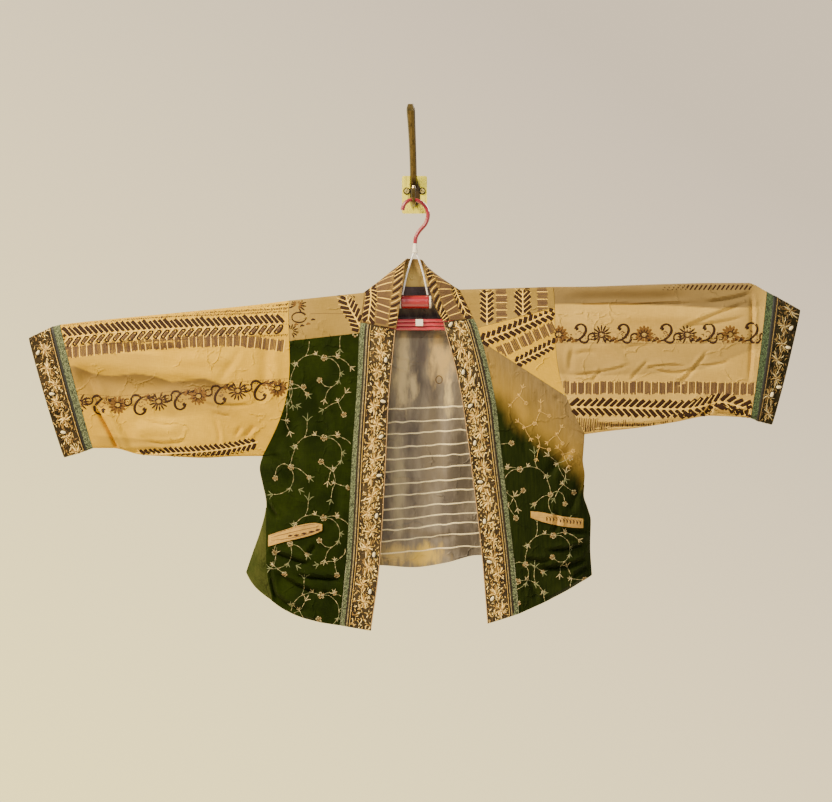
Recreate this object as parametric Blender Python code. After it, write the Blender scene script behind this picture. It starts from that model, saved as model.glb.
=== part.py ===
"""A cropped kimono jacket on a red hanger, hung from a two-prong brass wall hook.

The wall is the plane y = 0 and the jacket hangs in front of it, at y below 0. The origin is the
middle of the hook plate's back face. Tables are in millimetres. A column named "out" counts away
from the middle, to the left or right of someone who looks at the jacket.
"""
from collections import namedtuple
from math import cos, exp, pi, radians, sin, sqrt

import bmesh
import bpy
from mathutils import Vector

MM = 0.001
WALL = 1.4  # silk and its backing
SEAM_GAP = 0.3
LEFT, RIGHT = -1, 1

# Rows count down each body panel: the shoulder fold, the end of its curve, the underarm, the hem.
ROW_CAP, ROW_UNDERARM, ROW_HEM = 3, 12, 22
ROW_YOKE = {LEFT: 5, RIGHT: 9}
ROW_PATCH = 4
ROW_GORE = 15.5
ROW_INSET = 0.055  # half a seam gap, in rows of the shoulder fold
SEAM_INSET = 0.01  # the same, in rows of a panel
NAPE_STEPS = 10
FOLD_RADIUS = 5.5  # the cloth's turn over the hanger's arm
UNDERARM_RADIUS = 4.0

Sleeve = namedtuple("Sleeve", "out_top z_top out_low z_low bow y_mid half_depth")
SLEEVE = {
    LEFT: [
        Sleeve(207, -181, 251, -437, 24, -37, 15),
        Sleeve(262, -188, 296, -437.5, 19, -37, 15.5),
        Sleeve(330, -195, 347, -440, 10, -37, 15),
        Sleeve(401, -202, 405, -437.5, 4, -36, 14.5),
        Sleeve(470, -208.5, 455, -434.5, 0, -35, 13.5),
        Sleeve(536, -215, 500, -424, 0, -35, 12.5),
        Sleeve(586, -220.5, 532, -424, 0, -34, 12),
    ],
    RIGHT: [
        Sleeve(228.5, -158.6, 281, -401, 22, -41, 15),
        Sleeve(289, -158.2, 322, -395.5, 17, -42, 15.5),
        Sleeve(350, -156.2, 370, -390, 9, -43, 15),
        Sleeve(420, -154, 428, -381, 3, -44, 14.5),
        Sleeve(490, -152.5, 487, -370.5, 0, -45, 13.5),
        Sleeve(549, -152.5, 528, -372, 0, -46, 12.5),
        Sleeve(579, -166.5, 553, -374, 0, -47, 12),
    ],
}
# The cuff trim: where the sleeve ends, then the ends of the braid, the piping and the brocade.
CUFF = {
    LEFT: [
        SLEEVE[LEFT][-1],
        Sleeve(597.5, -223.5, 542, -427.5, 0, -34, 12.5),
        Sleeve(601, -225, 545, -428.5, 0, -34, 12.5),
        Sleeve(638, -242.5, 580, -439.5, 0, -34, 12),
    ],
    RIGHT: [
        SLEEVE[RIGHT][-1],
        Sleeve(590, -172.5, 562, -377.5, 0, -47, 12.5),
        Sleeve(594, -174.5, 565, -379, 0, -47, 12.5),
        Sleeve(634, -197, 588, -385, 0, -48, 12),
    ],
}

Edge = namedtuple("Edge", "row out y z")
SIDE_BACK = {
    LEFT: [
        Edge(13, 255.5, -41, -457),
        Edge(14, 250.7, -42, -482),
        Edge(15, 244.5, -43, -512),
        Edge(16, 246, -43, -531),
        Edge(18, 255.5, -43, -565),
        Edge(20, 267, -43, -597),
        Edge(22, 277.8, -43, -628.5),
    ],
    RIGHT: [
        Edge(13, 279, -44, -424),
        Edge(14, 277.3, -46, -445),
        Edge(15, 280.3, -47, -469.5),
        Edge(16, 277.8, -47, -500),
        Edge(17, 284, -47, -522),
        Edge(18, 289.5, -47, -543),
        Edge(20, 288.5, -47, -586),
        Edge(22, 291.3, -47, -632.9),
    ],
}
SIDE_FRONT = {
    LEFT: SIDE_BACK[LEFT][:3] + [
        Edge(16, 244, -48, -533),
        Edge(18, 243.5, -54, -576),
        Edge(20, 242, -59, -622),
        Edge(22, 232.7, -63, -673),
    ],
    RIGHT: SIDE_BACK[RIGHT],
}
# Where the neck band and the front band are sewn to the body, from the shoulder fold to the hem.
SEAM = {
    LEFT: [
        Edge(0, 83.4, -38, -168),
        Edge(3, 83, -45.5, -175),
        Edge(4, 86, -52.5, -199),
        Edge(5, 90.3, -56, -235.5),
        Edge(8, 93.5, -60, -312),
        Edge(12, 101.5, -67.5, -430),
        Edge(15, 106, -71.5, -520),
        Edge(18, 111, -74, -606),
        Edge(22, 120.8, -76.5, -711),
    ],
    RIGHT: [
        Edge(0, 71.9, -38, -163),
        Edge(3, 78.5, -46.5, -172),
        Edge(4, 104, -57, -227),
        Edge(9, 111, -58.5, -250),
        Edge(12, 132, -63.5, -345),
        Edge(14, 141, -67, -425),
        Edge(17, 154, -72, -535),
        Edge(19, 161, -74.5, -598),
        Edge(22, 169.6, -76.5, -692.2),
    ],
}
# The front band's free edge, from the neck band to the hem.
FREE = {
    LEFT: [
        Edge(0, 30.6, -61, -229.5),
        Edge(1, 41.5, -65.5, -345),
        Edge(2, 46.3, -70.5, -447.5),
        Edge(3, 55.9, -75.5, -607.8),
        Edge(4, 70.4, -78, -719.4),
    ],
    RIGHT: [
        Edge(0, 46.9, -61.5, -217.3),
        Edge(1, 71, -66, -312.4),
        Edge(2, 83.9, -69, -392.2),
        Edge(3, 106.4, -75, -572.2),
        Edge(4, 118.4, -78, -708.1),
    ],
}
ROW_BAND = {LEFT: 4.5, RIGHT: 3.6}  # the rows where the front bands begin
HEM_DROP = {LEFT: 9.0, RIGHT: 2.0}
# The band across its width: green braid, dark piping, brocade.
BAND = {"braid": (0.0, 0.19), "piping": (0.19, 0.25), "brocade": (0.25, 1.0)}

# The back's neck seam between the two shoulder folds, and its hem above a straight line.
Nape = namedtuple("Nape", "x y z")
NAPE = [
    Nape(-83.4, -38, -168),
    Nape(-76, -29.5, -163),
    Nape(-60, -23, -159),
    Nape(-30, -20, -160.5),
    Nape(0, -19.5, -161),
    Nape(28, -20, -160.5),
    Nape(52, -23.5, -159),
    Nape(65, -30, -160),
    Nape(71.9, -38, -163),
]
Hem = namedtuple("Hem", "across rise")
BACK_HEM = [
    Hem(0.0, 0.0),
    Hem(0.2, 8.0),
    Hem(0.38, 10.0),
    Hem(0.48, 7.0),
    Hem(0.58, 15.0),
    Hem(0.675, 28.0),
    Hem(0.85, 17.0),
    Hem(1.0, 0.0),
]
Y_BACK = -18.5

# The neck band's free edge, from the left front round the nape to the right front. Its sewn edge
# follows the fronts' seams up to NECK_TURN along it, and the nape between them.
NECK_TURN = 0.3
Neck = namedtuple("Neck", "along x y z crown")
NECK = [
    Neck(0.0, -30.2, -60.5, -228.2, 0),
    Neck(0.1, -25, -59.5, -196, 1),
    Neck(0.2, -20.8, -57.5, -168, 3),
    Neck(0.29, -17.8, -52, -143, 5),
    Neck(0.37, -15.4, -42, -118, 6),
    Neck(0.44, -11, -29.5, -110.5, 5),
    Neck(0.5, 1, -22, -110, 3),
    Neck(0.56, 12.5, -29, -113, 5),
    Neck(0.63, 16.8, -41, -124, 6),
    Neck(0.71, 20.8, -51, -146, 5),
    Neck(0.8, 26.3, -57.5, -168, 3),
    Neck(0.9, 35, -60, -194, 1),
    Neck(1.0, 46.5, -61.5, -215.8, 0),
]

# Folds of the cloth: from, to (out, z), half width and depth; a ridge has a negative depth.
Fold = namedtuple("Fold", "out_a z_a out_b z_b half_width depth")
SLEEVE_FOLDS = {
    LEFT: [
        Fold(535, -292, 345, -318, 13, 3.2),
        Fold(522, -338, 500, -412, 11, 4.5),
        Fold(470, -400, 300, -425, 14, -3.0),
        Fold(320, -232, 215, -300, 14, 2.6),
    ],
    RIGHT: [
        Fold(250, -196, 540, -180, 13, 3.0),
        Fold(560, -190, 545, -330, 11, 3.6),
        Fold(290, -285, 520, -300, 15, -3.2),
        Fold(300, -372, 460, -350, 14, 2.8),
    ],
}
FRONT_FOLDS = {
    LEFT: [
        Fold(248, -508, 180, -538, 12, 3.0),
        Fold(236, -640, 140, -668, 13, 3.0),
        Fold(236, -420, 170, -360, 15, 2.4),
    ],
    RIGHT: [
        Fold(275, -498, 200, -470, 13, 2.8),
        Fold(286, -590, 190, -640, 13, 3.2),
        Fold(262, -420, 190, -330, 15, 2.6),
    ],
}

Welt = namedtuple("Welt", "out z half_height")
WELT = {
    LEFT: [
        Welt(239, -575.5, 9),
        Welt(213, -567, 9.5),
        Welt(185, -559, 10.5),
        Welt(163, -554, 9),
        Welt(150, -552, 5),
    ],
    RIGHT: [
        Welt(189, -531, 5),
        Welt(208, -535.5, 7.5),
        Welt(232, -541, 8),
        Welt(256, -545, 8),
        Welt(276, -547, 7.5),
    ],
}
WELT_LIFT = 2.2

PLATE_WIDTH, PLATE_HEIGHT, PLATE_THICK = 42.0, 63.0, 4.0
PLATE_CORNER = 3.0
SCREW_X, SCREW_Z, SCREW_RADIUS = 13.0, 6.0, 4.2
WIRE = 3.3  # radius of the hanger's coated hook
Y_HANGER = -38.0
PRONG_X = -1.6
HOOK_TOP_Z = -13.8
TUBE_X, TUBE_Z, TUBE_RADIUS, TUBE_LENGTH = 1.0, -183.0, 11.0, 46.0
CAP_LENGTH = 5.0
ARM_RADIUS = 3.0
ARM_GAP = 0.8  # under the cloth that hangs over it
STRUT_RADIUS = 1.6
BAR_HALF, BAR_Z, BAR_RADIUS, BAR_PITCH = 62.0, -220.5, 3.0, 6.4
POST_RADIUS = 2.2
CLIP_X, CLIP = 8.0, (12.0, 3.0, 11.0)


def spline(rows, at, tight=True):
    """The row at a place along a table: a cubic through the rows against their first column. A
    tight one never swings past its rows."""
    i = max(k for k in range(len(rows) - 1) if k == 0 or rows[k][0] <= at)
    a, b = rows[i], rows[i + 1]
    before = rows[i - 1] if i > 0 else a
    after = rows[i + 2] if i + 2 < len(rows) else b
    span = b[0] - a[0]
    t = (at - a[0]) / span

    def rise(low, high, k, near, far):
        slope_here = (high[k] - low[k]) / (high[0] - low[0])
        if tight and near[0] != far[0]:
            sides = [(b[k] - a[k]) / span, (far[k] - near[k]) / (far[0] - near[0])]
            if sides[0] * sides[1] <= 0:
                return 0.0
            most = 2.5 * min(abs(side) for side in sides)
            slope_here = min(max(slope_here, -most), most)
        return slope_here * span

    values = []
    for k in range(1, len(a)):
        rise_a = rise(before, b, k, before, a)
        rise_b = rise(a, after, k, b, after)
        values.append(
            a[k] * (2 * t**3 - 3 * t**2 + 1)
            + rise_a * (t**3 - 2 * t**2 + t)
            + b[k] * (3 * t**2 - 2 * t**3)
            + rise_b * (t**3 - t**2)
        )
    return values


def mix(a, b, t):
    return a + (b - a) * t


def smooth(t):
    t = min(max(t, 0.0), 1.0)
    return t * t * (3 - 2 * t)


def relief(folds, out, z):
    """How deep the folds press the cloth in at one place, in millimetres."""
    depth = 0.0
    for fold in folds:
        a = Vector((fold.out_a, fold.z_a))
        line = Vector((fold.out_b, fold.z_b)) - a
        here = Vector((out, z)) - a
        along = here.dot(line) / line.length_squared
        aside = (here - line * min(max(along, 0.0), 1.0)).length
        ends = smooth(min(along, 1 - along) * 4 + 0.2)
        depth += fold.depth * ends * exp(-((aside / fold.half_width) ** 2))
    return depth


def section(row, at):
    """Height and depth round a sleeve, in millimetres from its top fold: at is 0 there, 0.5 at the
    lower fold, the front up to 0.5 and the back beyond it."""
    height = Vector((row.out_low - row.out_top, row.z_low - row.z_top)).length
    front = at if at <= 0.5 else 1 - at
    side = height - FOLD_RADIUS - UNDERARM_RADIUS
    arc_top, arc_low = FOLD_RADIUS * pi / 2, UNDERARM_RADIUS * pi / 2
    run = 2 * front * (arc_top + side + arc_low)
    if run < arc_top:
        turn = run / FOLD_RADIUS
        down, depth = FOLD_RADIUS * (1 - cos(turn)), FOLD_RADIUS * sin(turn)
    elif run < arc_top + side:
        k = (run - arc_top) / side
        down = FOLD_RADIUS + side * k
        level = mix(FOLD_RADIUS, UNDERARM_RADIUS, k)
        depth = level + (row.half_depth - level) * sin(pi * k) ** 0.7
    else:
        turn = (arc_top + side + arc_low - run) / UNDERARM_RADIUS
        down, depth = height - UNDERARM_RADIUS * (1 - cos(turn)), UNDERARM_RADIUS * sin(turn)
    return down / height, depth if at <= 0.5 else -depth


def ring(side, row, at, folds=()):
    """A point round one section of a sleeve or cuff."""
    down, depth = section(row, at)
    out = mix(row.out_top, row.out_low, down) - row.bow * sin(pi * down**1.3)
    z = mix(row.z_top, row.z_low, down)
    edge = smooth(abs(depth) / 10 - 0.55)
    press = relief(folds, out, z if at <= 0.5 else z + 14) * edge * (1 if at <= 0.5 else 0.8)
    depth -= press if at <= 0.5 else -press
    return Vector((side * out, row.y_mid - depth, z))


def sleeve(side, along, at):
    """A point on a sleeve: along is 0 at the armhole and 1 at the cuff trim."""
    rows = SLEEVE[side]
    first, last = rows[0].out_top, rows[-1].out_top
    table = [(row.out_top, *row[1:]) for row in rows]
    out_top = mix(first, last, along)
    row = Sleeve(out_top, *spline(table, out_top))
    fade = smooth(along * 6) * smooth((1 - along) * 8)
    folds = [fold._replace(depth=fold.depth * fade) for fold in SLEEVE_FOLDS[side]]
    return ring(side, row, at, folds)


def round_armhole(row):
    """Where a body row lies round the armhole: 0 at the shoulder fold, 0.5 at the underarm."""
    armhole = SLEEVE[LEFT][0]
    height = Vector((armhole.out_low - armhole.out_top, armhole.z_low - armhole.z_top)).length
    arc_top, arc_low = FOLD_RADIUS * pi / 2, UNDERARM_RADIUS * pi / 2
    side = height - FOLD_RADIUS - UNDERARM_RADIUS
    total = arc_top + side + arc_low
    marks = [0.0, arc_top / total / 2, (arc_top + side) / total / 2, 0.5]
    if row <= ROW_CAP:
        return mix(marks[0], marks[1], row / ROW_CAP)
    last = ROW_UNDERARM - 1
    if row <= last:
        return mix(marks[1], marks[2], (row - ROW_CAP) / (last - ROW_CAP))
    return mix(marks[2], marks[3], row - last)


def side_edge(side, row, face):
    """The outer edge of a body panel: round the armhole, then down the side seam."""
    if row <= ROW_UNDERARM:
        at = round_armhole(row)
        return ring(side, SLEEVE[side][0], at if face == "front" else 1 - at)
    underarm = ring(side, SLEEVE[side][0], 0.5)
    start = Edge(ROW_UNDERARM, side * underarm.x, underarm.y, underarm.z)
    table = [start] + (SIDE_FRONT if face == "front" else SIDE_BACK)[side]
    out, y, z = spline(table, row)
    return Vector((side * out, y, z))


def seam_edge(side, row):
    """The seam of the neck band and the front band, which turns over the shoulder first."""
    if row < ROW_CAP:
        top, end = SEAM[side][0], SEAM[side][1]
        turn = row / ROW_CAP * pi / 2
        depth = (top.y - end.y) * sin(turn)
        out = mix(top.out, end.out, row / ROW_CAP)
        return Vector((side * out, top.y - depth, mix(top.z, end.z, 1 - cos(turn))))
    out, y, z = spline(SEAM[side][1:], row)
    return Vector((side * out, y, z))


def swell(across, row):
    """How a panel's depth grows from its side: evenly at the armhole, roundly below it."""
    even = sin(pi / 2 * across)
    full = 0.45 * sqrt(1 - (1 - across) ** 2) + 0.55 * (1 - (1 - across) ** 3)
    return mix(even, full, smooth((row - 10) / 4))


def front(side, across, row):
    """A point on a front: across is 0 at the side and 1 at the band."""
    a, b = side_edge(side, row, "front"), seam_edge(side, row)
    point = a.lerp(b, across)
    point.y = mix(a.y, b.y, swell(across, row))
    below = max(row - ROW_UNDERARM, 0) / (ROW_HEM - ROW_UNDERARM)
    point.z -= HEM_DROP[side] * sin(pi * across**0.8) * below**3
    edge = smooth(across * 5) * smooth((1 - across) * 5) * smooth((ROW_HEM - row) * 0.8)
    point.y += relief(FRONT_FOLDS[side], abs(point.x), point.z) * edge
    return point


def front_at(side, x, z):
    """The place across and down a front that lies behind a point of the front view."""
    across, row = 0.5, 14.0
    for _ in range(30):
        here = front(side, across, row)
        step_a = front(side, across + 0.01, row) - here
        step_r = front(side, across, row + 0.1) - here
        dx, dz = x - here.x, z - here.z
        scale = step_a.x * step_r.z - step_a.z * step_r.x
        across += 0.01 * (dx * step_r.z - dz * step_r.x) / scale
        row += 0.1 * (dz * step_a.x - dx * step_a.z) / scale
        across, row = min(max(across, 0.0), 0.98), min(max(row, 3.2), 21.8)
    return across, row


def top_edge(x):
    """Depth and height of the back's upper edge: the shoulder folds, with the nape between."""
    for side, end in ((LEFT, NAPE[0]), (RIGHT, NAPE[-1])):
        if side * x > side * end.x:
            tip = ring(side, SLEEVE[side][0], 0)
            point = front(side, (tip.x - x) / (tip.x - end.x), 0)
            return point.y, point.z
    return spline(NAPE, x)


def back(across, row):
    """A point on the back: across is 0 at the left side and 1 at the right."""
    a, b = side_edge(LEFT, row, "back"), side_edge(RIGHT, row, "back")
    point = a.lerp(b, across)
    tips = [ring(side, SLEEVE[side][0], 0) for side in (LEFT, RIGHT)]
    top_y, top_z = top_edge(mix(tips[0].x, tips[1].x, across))
    down = row / ROW_HEM
    top_rise = top_z - mix(tips[0].z, tips[1].z, across)
    hem_rise = spline(BACK_HEM, across)[0]
    point.z += top_rise * (1 - down) ** 3 + hem_rise * down**2
    nearest = min(across, 1 - across)
    side_y = a.y if across < 0.5 else b.y
    hang = mix(side_y, Y_BACK - 1.5 * down**2, swell(min(nearest * 4.4, 1.0), row))
    turn = sin(min(row / ROW_CAP, 1.0) * pi / 2)
    fold = FOLD_RADIUS * smooth((abs(top_y) - 19) / 14)
    at_top = 1.0 if row <= ROW_CAP else (1 - smooth((row - ROW_CAP) / 3)) * smooth(nearest * 16)
    point.y = mix(hang, top_y + fold * turn, at_top)
    return point


def gore(across, row):
    """A point on the left side gore: across is 0 at the back and 1 at the front."""
    a, b = side_edge(LEFT, row, "back"), side_edge(LEFT, row, "front")
    point = a.lerp(b, across)
    width = (b - a).length
    point.x -= 0.08 * width * sin(pi * across)
    point.y -= 0.12 * width * sin(pi * across)
    return point


def band(side, across, along):
    """A point on a front band: across is 0 at the seam and 1 at the free edge."""
    a = seam_edge(side, mix(ROW_BAND[side], ROW_HEM, along))
    out, y, z = spline(FREE[side], 4 * along)
    b = Vector((side * out, y, z))
    point = a.lerp(b, across)
    point.y -= 1.2 * sin(pi * across)
    return point


def neck(across, along):
    """A point on the neck band: across is 0 at its seam and 1 at its free edge."""
    fx, fy, fz, crown = spline(NECK, along)
    if along < NECK_TURN:
        a = seam_edge(LEFT, ROW_BAND[LEFT] * (1 - along / NECK_TURN))
    elif along > 1 - NECK_TURN:
        a = seam_edge(RIGHT, ROW_BAND[RIGHT] * (1 - (1 - along) / NECK_TURN))
    else:
        behind = (along - NECK_TURN) / (1 - 2 * NECK_TURN)
        x = mix(NAPE[0].x, NAPE[-1].x, behind)
        y, z = spline(NAPE, x)
        a = Vector((x, y, z))
    point = a.lerp(Vector((fx, fy, fz)), across)
    turned_back = 1 - 2 * abs(along - 0.5)
    outwards = Vector((point.x * 0.5, 18 * turned_back - 12, 22)).normalized()
    return point + outwards * crown * sin(pi * across)


def trimmed(length, gap=SEAM_GAP):
    """The share of a length that half a seam gap takes."""
    return gap / 2 / length


def spread(first, last, count):
    return [mix(first, last, i / count) for i in range(count + 1)]


def material(name, colour, roughness, metallic=0.0):
    made = bpy.data.materials.get(name)
    if made is None:
        made = bpy.data.materials.new(name)
        made.use_nodes = True
        shader = made.node_tree.nodes["Principled BSDF"]
        shader.inputs["Base Color"].default_value = (*colour, 1)
        shader.inputs["Roughness"].default_value = roughness
        shader.inputs["Metallic"].default_value = metallic
    return made


def place(name, bm, finish):
    """Adds the finished body to the scene, in metres, with its faces pointing out."""
    bmesh.ops.recalc_face_normals(bm, faces=bm.faces)
    bmesh.ops.scale(bm, vec=(MM, MM, MM), verts=bm.verts)
    mesh = bpy.data.meshes.new(name)
    bm.to_mesh(mesh)
    bm.free()
    mesh.shade_smooth()
    mesh.set_sharp_from_angle(angle=radians(40))
    mesh.materials.append(finish)
    thing = bpy.data.objects.new(name, mesh)
    bpy.context.scene.collection.objects.link(thing)
    return thing


def slope(line, i):
    """Which way a line of points runs at one of them."""
    last = len(line) - 1
    if 0 < i < last:
        return line[i + 1] - line[i - 1]
    if last < 2:
        return line[1] - line[0]
    if i == 0:
        return 4 * line[1] - 3 * line[0] - line[2]
    return 3 * line[last] - 4 * line[last - 1] + line[last - 2]


def cloth(name, grid, finish, wall=WALL, closed=False, lift=0.0):
    """A cloth wall round a grid of points; a closed grid joins its last column to its first."""
    rows, columns = len(grid), len(grid[0])

    def normal(i, j):
        down = slope([line[j] for line in grid], i)
        if closed:
            right = grid[i][(j + 1) % columns] - grid[i][j - 1]
        else:
            right = slope(grid[i], j)
        return right.cross(down).normalized()

    bm = bmesh.new()
    layers = []
    for shift in (lift - wall / 2, lift + wall / 2):
        layers.append([
            [bm.verts.new(grid[i][j] + normal(i, j) * shift) for j in range(columns)]
            for i in range(rows)
        ])
    wraps = columns if closed else columns - 1
    for layer in layers:
        for i in range(rows - 1):
            for j in range(wraps):
                k = (j + 1) % columns
                bm.faces.new((layer[i][j], layer[i][k], layer[i + 1][k], layer[i + 1][j]))
    low, high = layers
    for j in range(wraps):
        k = (j + 1) % columns
        for i in (0, rows - 1):
            bm.faces.new((low[i][j], low[i][k], high[i][k], high[i][j]))
    if not closed:
        for i in range(rows - 1):
            for j in (0, columns - 1):
                bm.faces.new((low[i][j], low[i + 1][j], high[i + 1][j], high[i][j]))
    return place(name, bm, finish)


def tube(name, points, radius, finish, radii=None, sides=8, steps=3):
    """A round bar along a smooth curve through a few points, closed at both ends."""
    marks = [0.0]
    for a, b in zip(points, points[1:]):
        marks.append(marks[-1] + (Vector(b) - Vector(a)).length)
    table = [(mark, *point) for mark, point in zip(marks, points)]
    curve = bpy.data.curves.new(name, "CURVE")
    curve.dimensions = "3D"
    curve.bevel_depth = radius * MM
    curve.bevel_resolution = (sides - 4) // 2
    curve.use_fill_caps = True
    line = curve.splines.new("POLY")
    count = (len(points) - 1) * steps
    line.points.add(count)
    for i in range(count + 1):
        before = min(i // steps, len(points) - 2)
        at = mix(marks[before], marks[before + 1], i / steps - before)
        line.points[i].co = (*(Vector(spline(table, at, tight=False)) * MM), 1)
        if radii:
            line.points[i].radius = spline(list(zip(marks, radii)), at)[0]
    curve.materials.append(finish)
    thing = bpy.data.objects.new(name, curve)
    bpy.context.scene.collection.objects.link(thing)
    return thing


def turned(name, place_at, profile, finish, sides=16):
    """A turned piece on an axis along x: profile rows are (x, radius), from left to right."""
    bm = bmesh.new()
    rings = []
    for x, radius in profile:
        rings.append([
            bm.verts.new((place_at[0] + x,
                          place_at[1] + radius * cos(2 * pi * k / sides),
                          place_at[2] + radius * sin(2 * pi * k / sides)))
            for k in range(sides)
        ])
    for a, b in zip(rings, rings[1:]):
        for k in range(sides):
            n = (k + 1) % sides
            bm.faces.new((a[k], a[n], b[n], b[k]))
    bm.faces.new(rings[0])
    bm.faces.new(rings[-1])
    return place(name, bm, finish)


def side_name(stem, side):
    return f"{stem}_{'left' if side == LEFT else 'right'}"


def make_sleeves(finishes):
    columns = [round_armhole(r) for r in range(ROW_CAP, ROW_UNDERARM)]
    cap = [round_armhole(r) for r in (0, 1, 2)]
    front_half = cap + columns + [round_armhole(ROW_UNDERARM - 0.5), 0.5]
    whole = front_half + [1 - at for at in reversed(front_half[1:-1])]
    for side in (LEFT, RIGHT):
        length = SLEEVE[side][-1].out_top - SLEEVE[side][0].out_top
        inset = trimmed(length)
        stations = spread(inset, 1 - 3 * inset, 17)
        grid = [[sleeve(side, along, at) for at in whole] for along in stations]
        cloth(side_name("sleeve", side), grid, finishes["print"], closed=True)
        for i, part in enumerate(("braid", "piping", "brocade")):
            a, b = CUFF[side][i], CUFF[side][i + 1]
            inset = trimmed(b.out_top - a.out_top)
            steps = 2 if part == "brocade" else 1
            grid = []
            for along in spread(inset, 1 - inset, steps):
                row = Sleeve(*(mix(p, q, along) for p, q in zip(a, b)))
                grid.append([ring(side, row, at) for at in whole])
            wall = WALL + (0.8 if part == "piping" else 0.0)
            cloth(side_name(f"cuff_{part}", side), grid, finishes[part], wall, closed=True)


def rows_between(first, last):
    """The rows that neighbouring pieces share, so that their seams match."""
    every = [1, 2, 3, 3.3, 3.6, 4, 4.5] + list(range(5, ROW_UNDERARM))
    every += spread(ROW_UNDERARM - 0.5, ROW_HEM, 12)
    return [first] + [row for row in every if first + 0.1 < row < last - 0.1] + [last]


def front_panel(name, side, first, last, finish):
    """A stretch of a front between two rows, with a seam gap all round."""
    first += ROW_INSET if first == 0 else SEAM_INSET
    last -= SEAM_INSET if last < ROW_HEM else 0
    rows = rows_between(first, last)
    columns = 9
    side_inset, band_inset = trimmed(140, 0.9), trimmed(140)
    across = [
        mix(side_inset, 1 - band_inset, (i / columns) ** 1.25) for i in range(columns + 1)
    ]
    grid = [[front(side, u, row) for u in across] for row in rows]
    return cloth(name, grid, finish)


def make_fronts(finishes):
    front_panel("front_left", LEFT, ROW_YOKE[LEFT], ROW_HEM, finishes["green"])
    front_panel("front_right", RIGHT, ROW_YOKE[RIGHT], ROW_HEM, finishes["ombre"])
    front_panel("yoke_left", LEFT, 0, ROW_YOKE[LEFT], finishes["print"])
    front_panel("yoke_right", RIGHT, 0, ROW_PATCH, finishes["print"])
    front_panel("chest_patch_right", RIGHT, ROW_PATCH, ROW_YOKE[RIGHT], finishes["print"])


def make_back(finishes):
    tips = [ring(side, SLEEVE[side][0], 0).x for side in (LEFT, RIGHT)]
    inset = trimmed(1, 0.9)
    x_left = spread(tips[0] + inset, NAPE[0].x, 5)
    x_nape = spread(NAPE[0].x, NAPE[-1].x, NAPE_STEPS)
    x_right = spread(NAPE[-1].x, tips[1] - inset, 6)
    across = [(x - tips[0]) / (tips[1] - tips[0]) for x in x_left[:-1] + x_nape + x_right[1:]]
    grid = [[back(u, row) for u in across] for row in rows_between(ROW_INSET, ROW_HEM)]
    cloth("back", grid, finishes["olive"])
    across = across[1:5] + across[5:-6:2] + across[-6:-1]
    grid = [[back(u, row) for u in across] for row in rows_between(ROW_CAP + 0.35, ROW_HEM)]
    cloth("back_lining", grid, finishes["taupe"], lift=-WALL - SEAM_GAP)
    grid = []
    for row in spread(ROW_GORE, ROW_HEM, 7):
        width = (side_edge(LEFT, row, "back") - side_edge(LEFT, row, "front")).length
        inset = trimmed(width, 1.2)
        grid.append([gore(u, row) for u in spread(inset, 1 - inset, 4)])
    cloth("side_left", grid, finishes["olive"], wall=1.0)


def make_bands(finishes):
    for side in (LEFT, RIGHT):
        for part, (edge, free) in BAND.items():
            inset = trimmed(61)
            columns = 3 if part == "brocade" else 1
            across = spread(edge + inset, free - inset, columns)
            first = ROW_BAND[side] + SEAM_INSET
            rows = rows_between(first, ROW_HEM)
            marks = [(row - ROW_BAND[side]) / (ROW_HEM - ROW_BAND[side]) for row in rows]
            grid = [[band(side, u, along) for u in across] for along in marks]
            wall = WALL + (0.8 if part == "piping" else 0.0)
            cloth(side_name(f"band_{part}", side), grid, finishes[part], wall)
    left = [NECK_TURN * (1 - row / ROW_BAND[LEFT])
            for row in reversed(rows_between(0, ROW_BAND[LEFT]))]
    right = [1 - NECK_TURN * (1 - row / ROW_BAND[RIGHT])
             for row in rows_between(0, ROW_BAND[RIGHT])]
    along = left + spread(NECK_TURN, 1 - NECK_TURN, NAPE_STEPS)[1:-1] + right
    inset = trimmed(55, 1.0)
    grid = [[neck(u, t) for u in spread(inset, 1, 5)] for t in along]
    cloth("neck_band", grid, finishes["print"])


def make_welts(finishes):
    for side in (LEFT, RIGHT):
        rows = WELT[side]
        table = [(row.out, row.z, row.half_height) for row in rows]
        table.sort()
        grid = []
        for out in spread(table[0][0], table[-1][0], 7):
            z, half = spline(table, out)
            line = []
            for up in (1, 0, -1):
                across, row = front_at(side, side * out, z + up * half)
                line.append(front(side, across, row))
            grid.append(line)
        if side == LEFT:
            grid.reverse()
        lifted = [[point + Vector((0, -WELT_LIFT, 0)) for point in line] for line in grid]
        cloth(side_name("welt", side), lifted, finishes["peach"])


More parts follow.
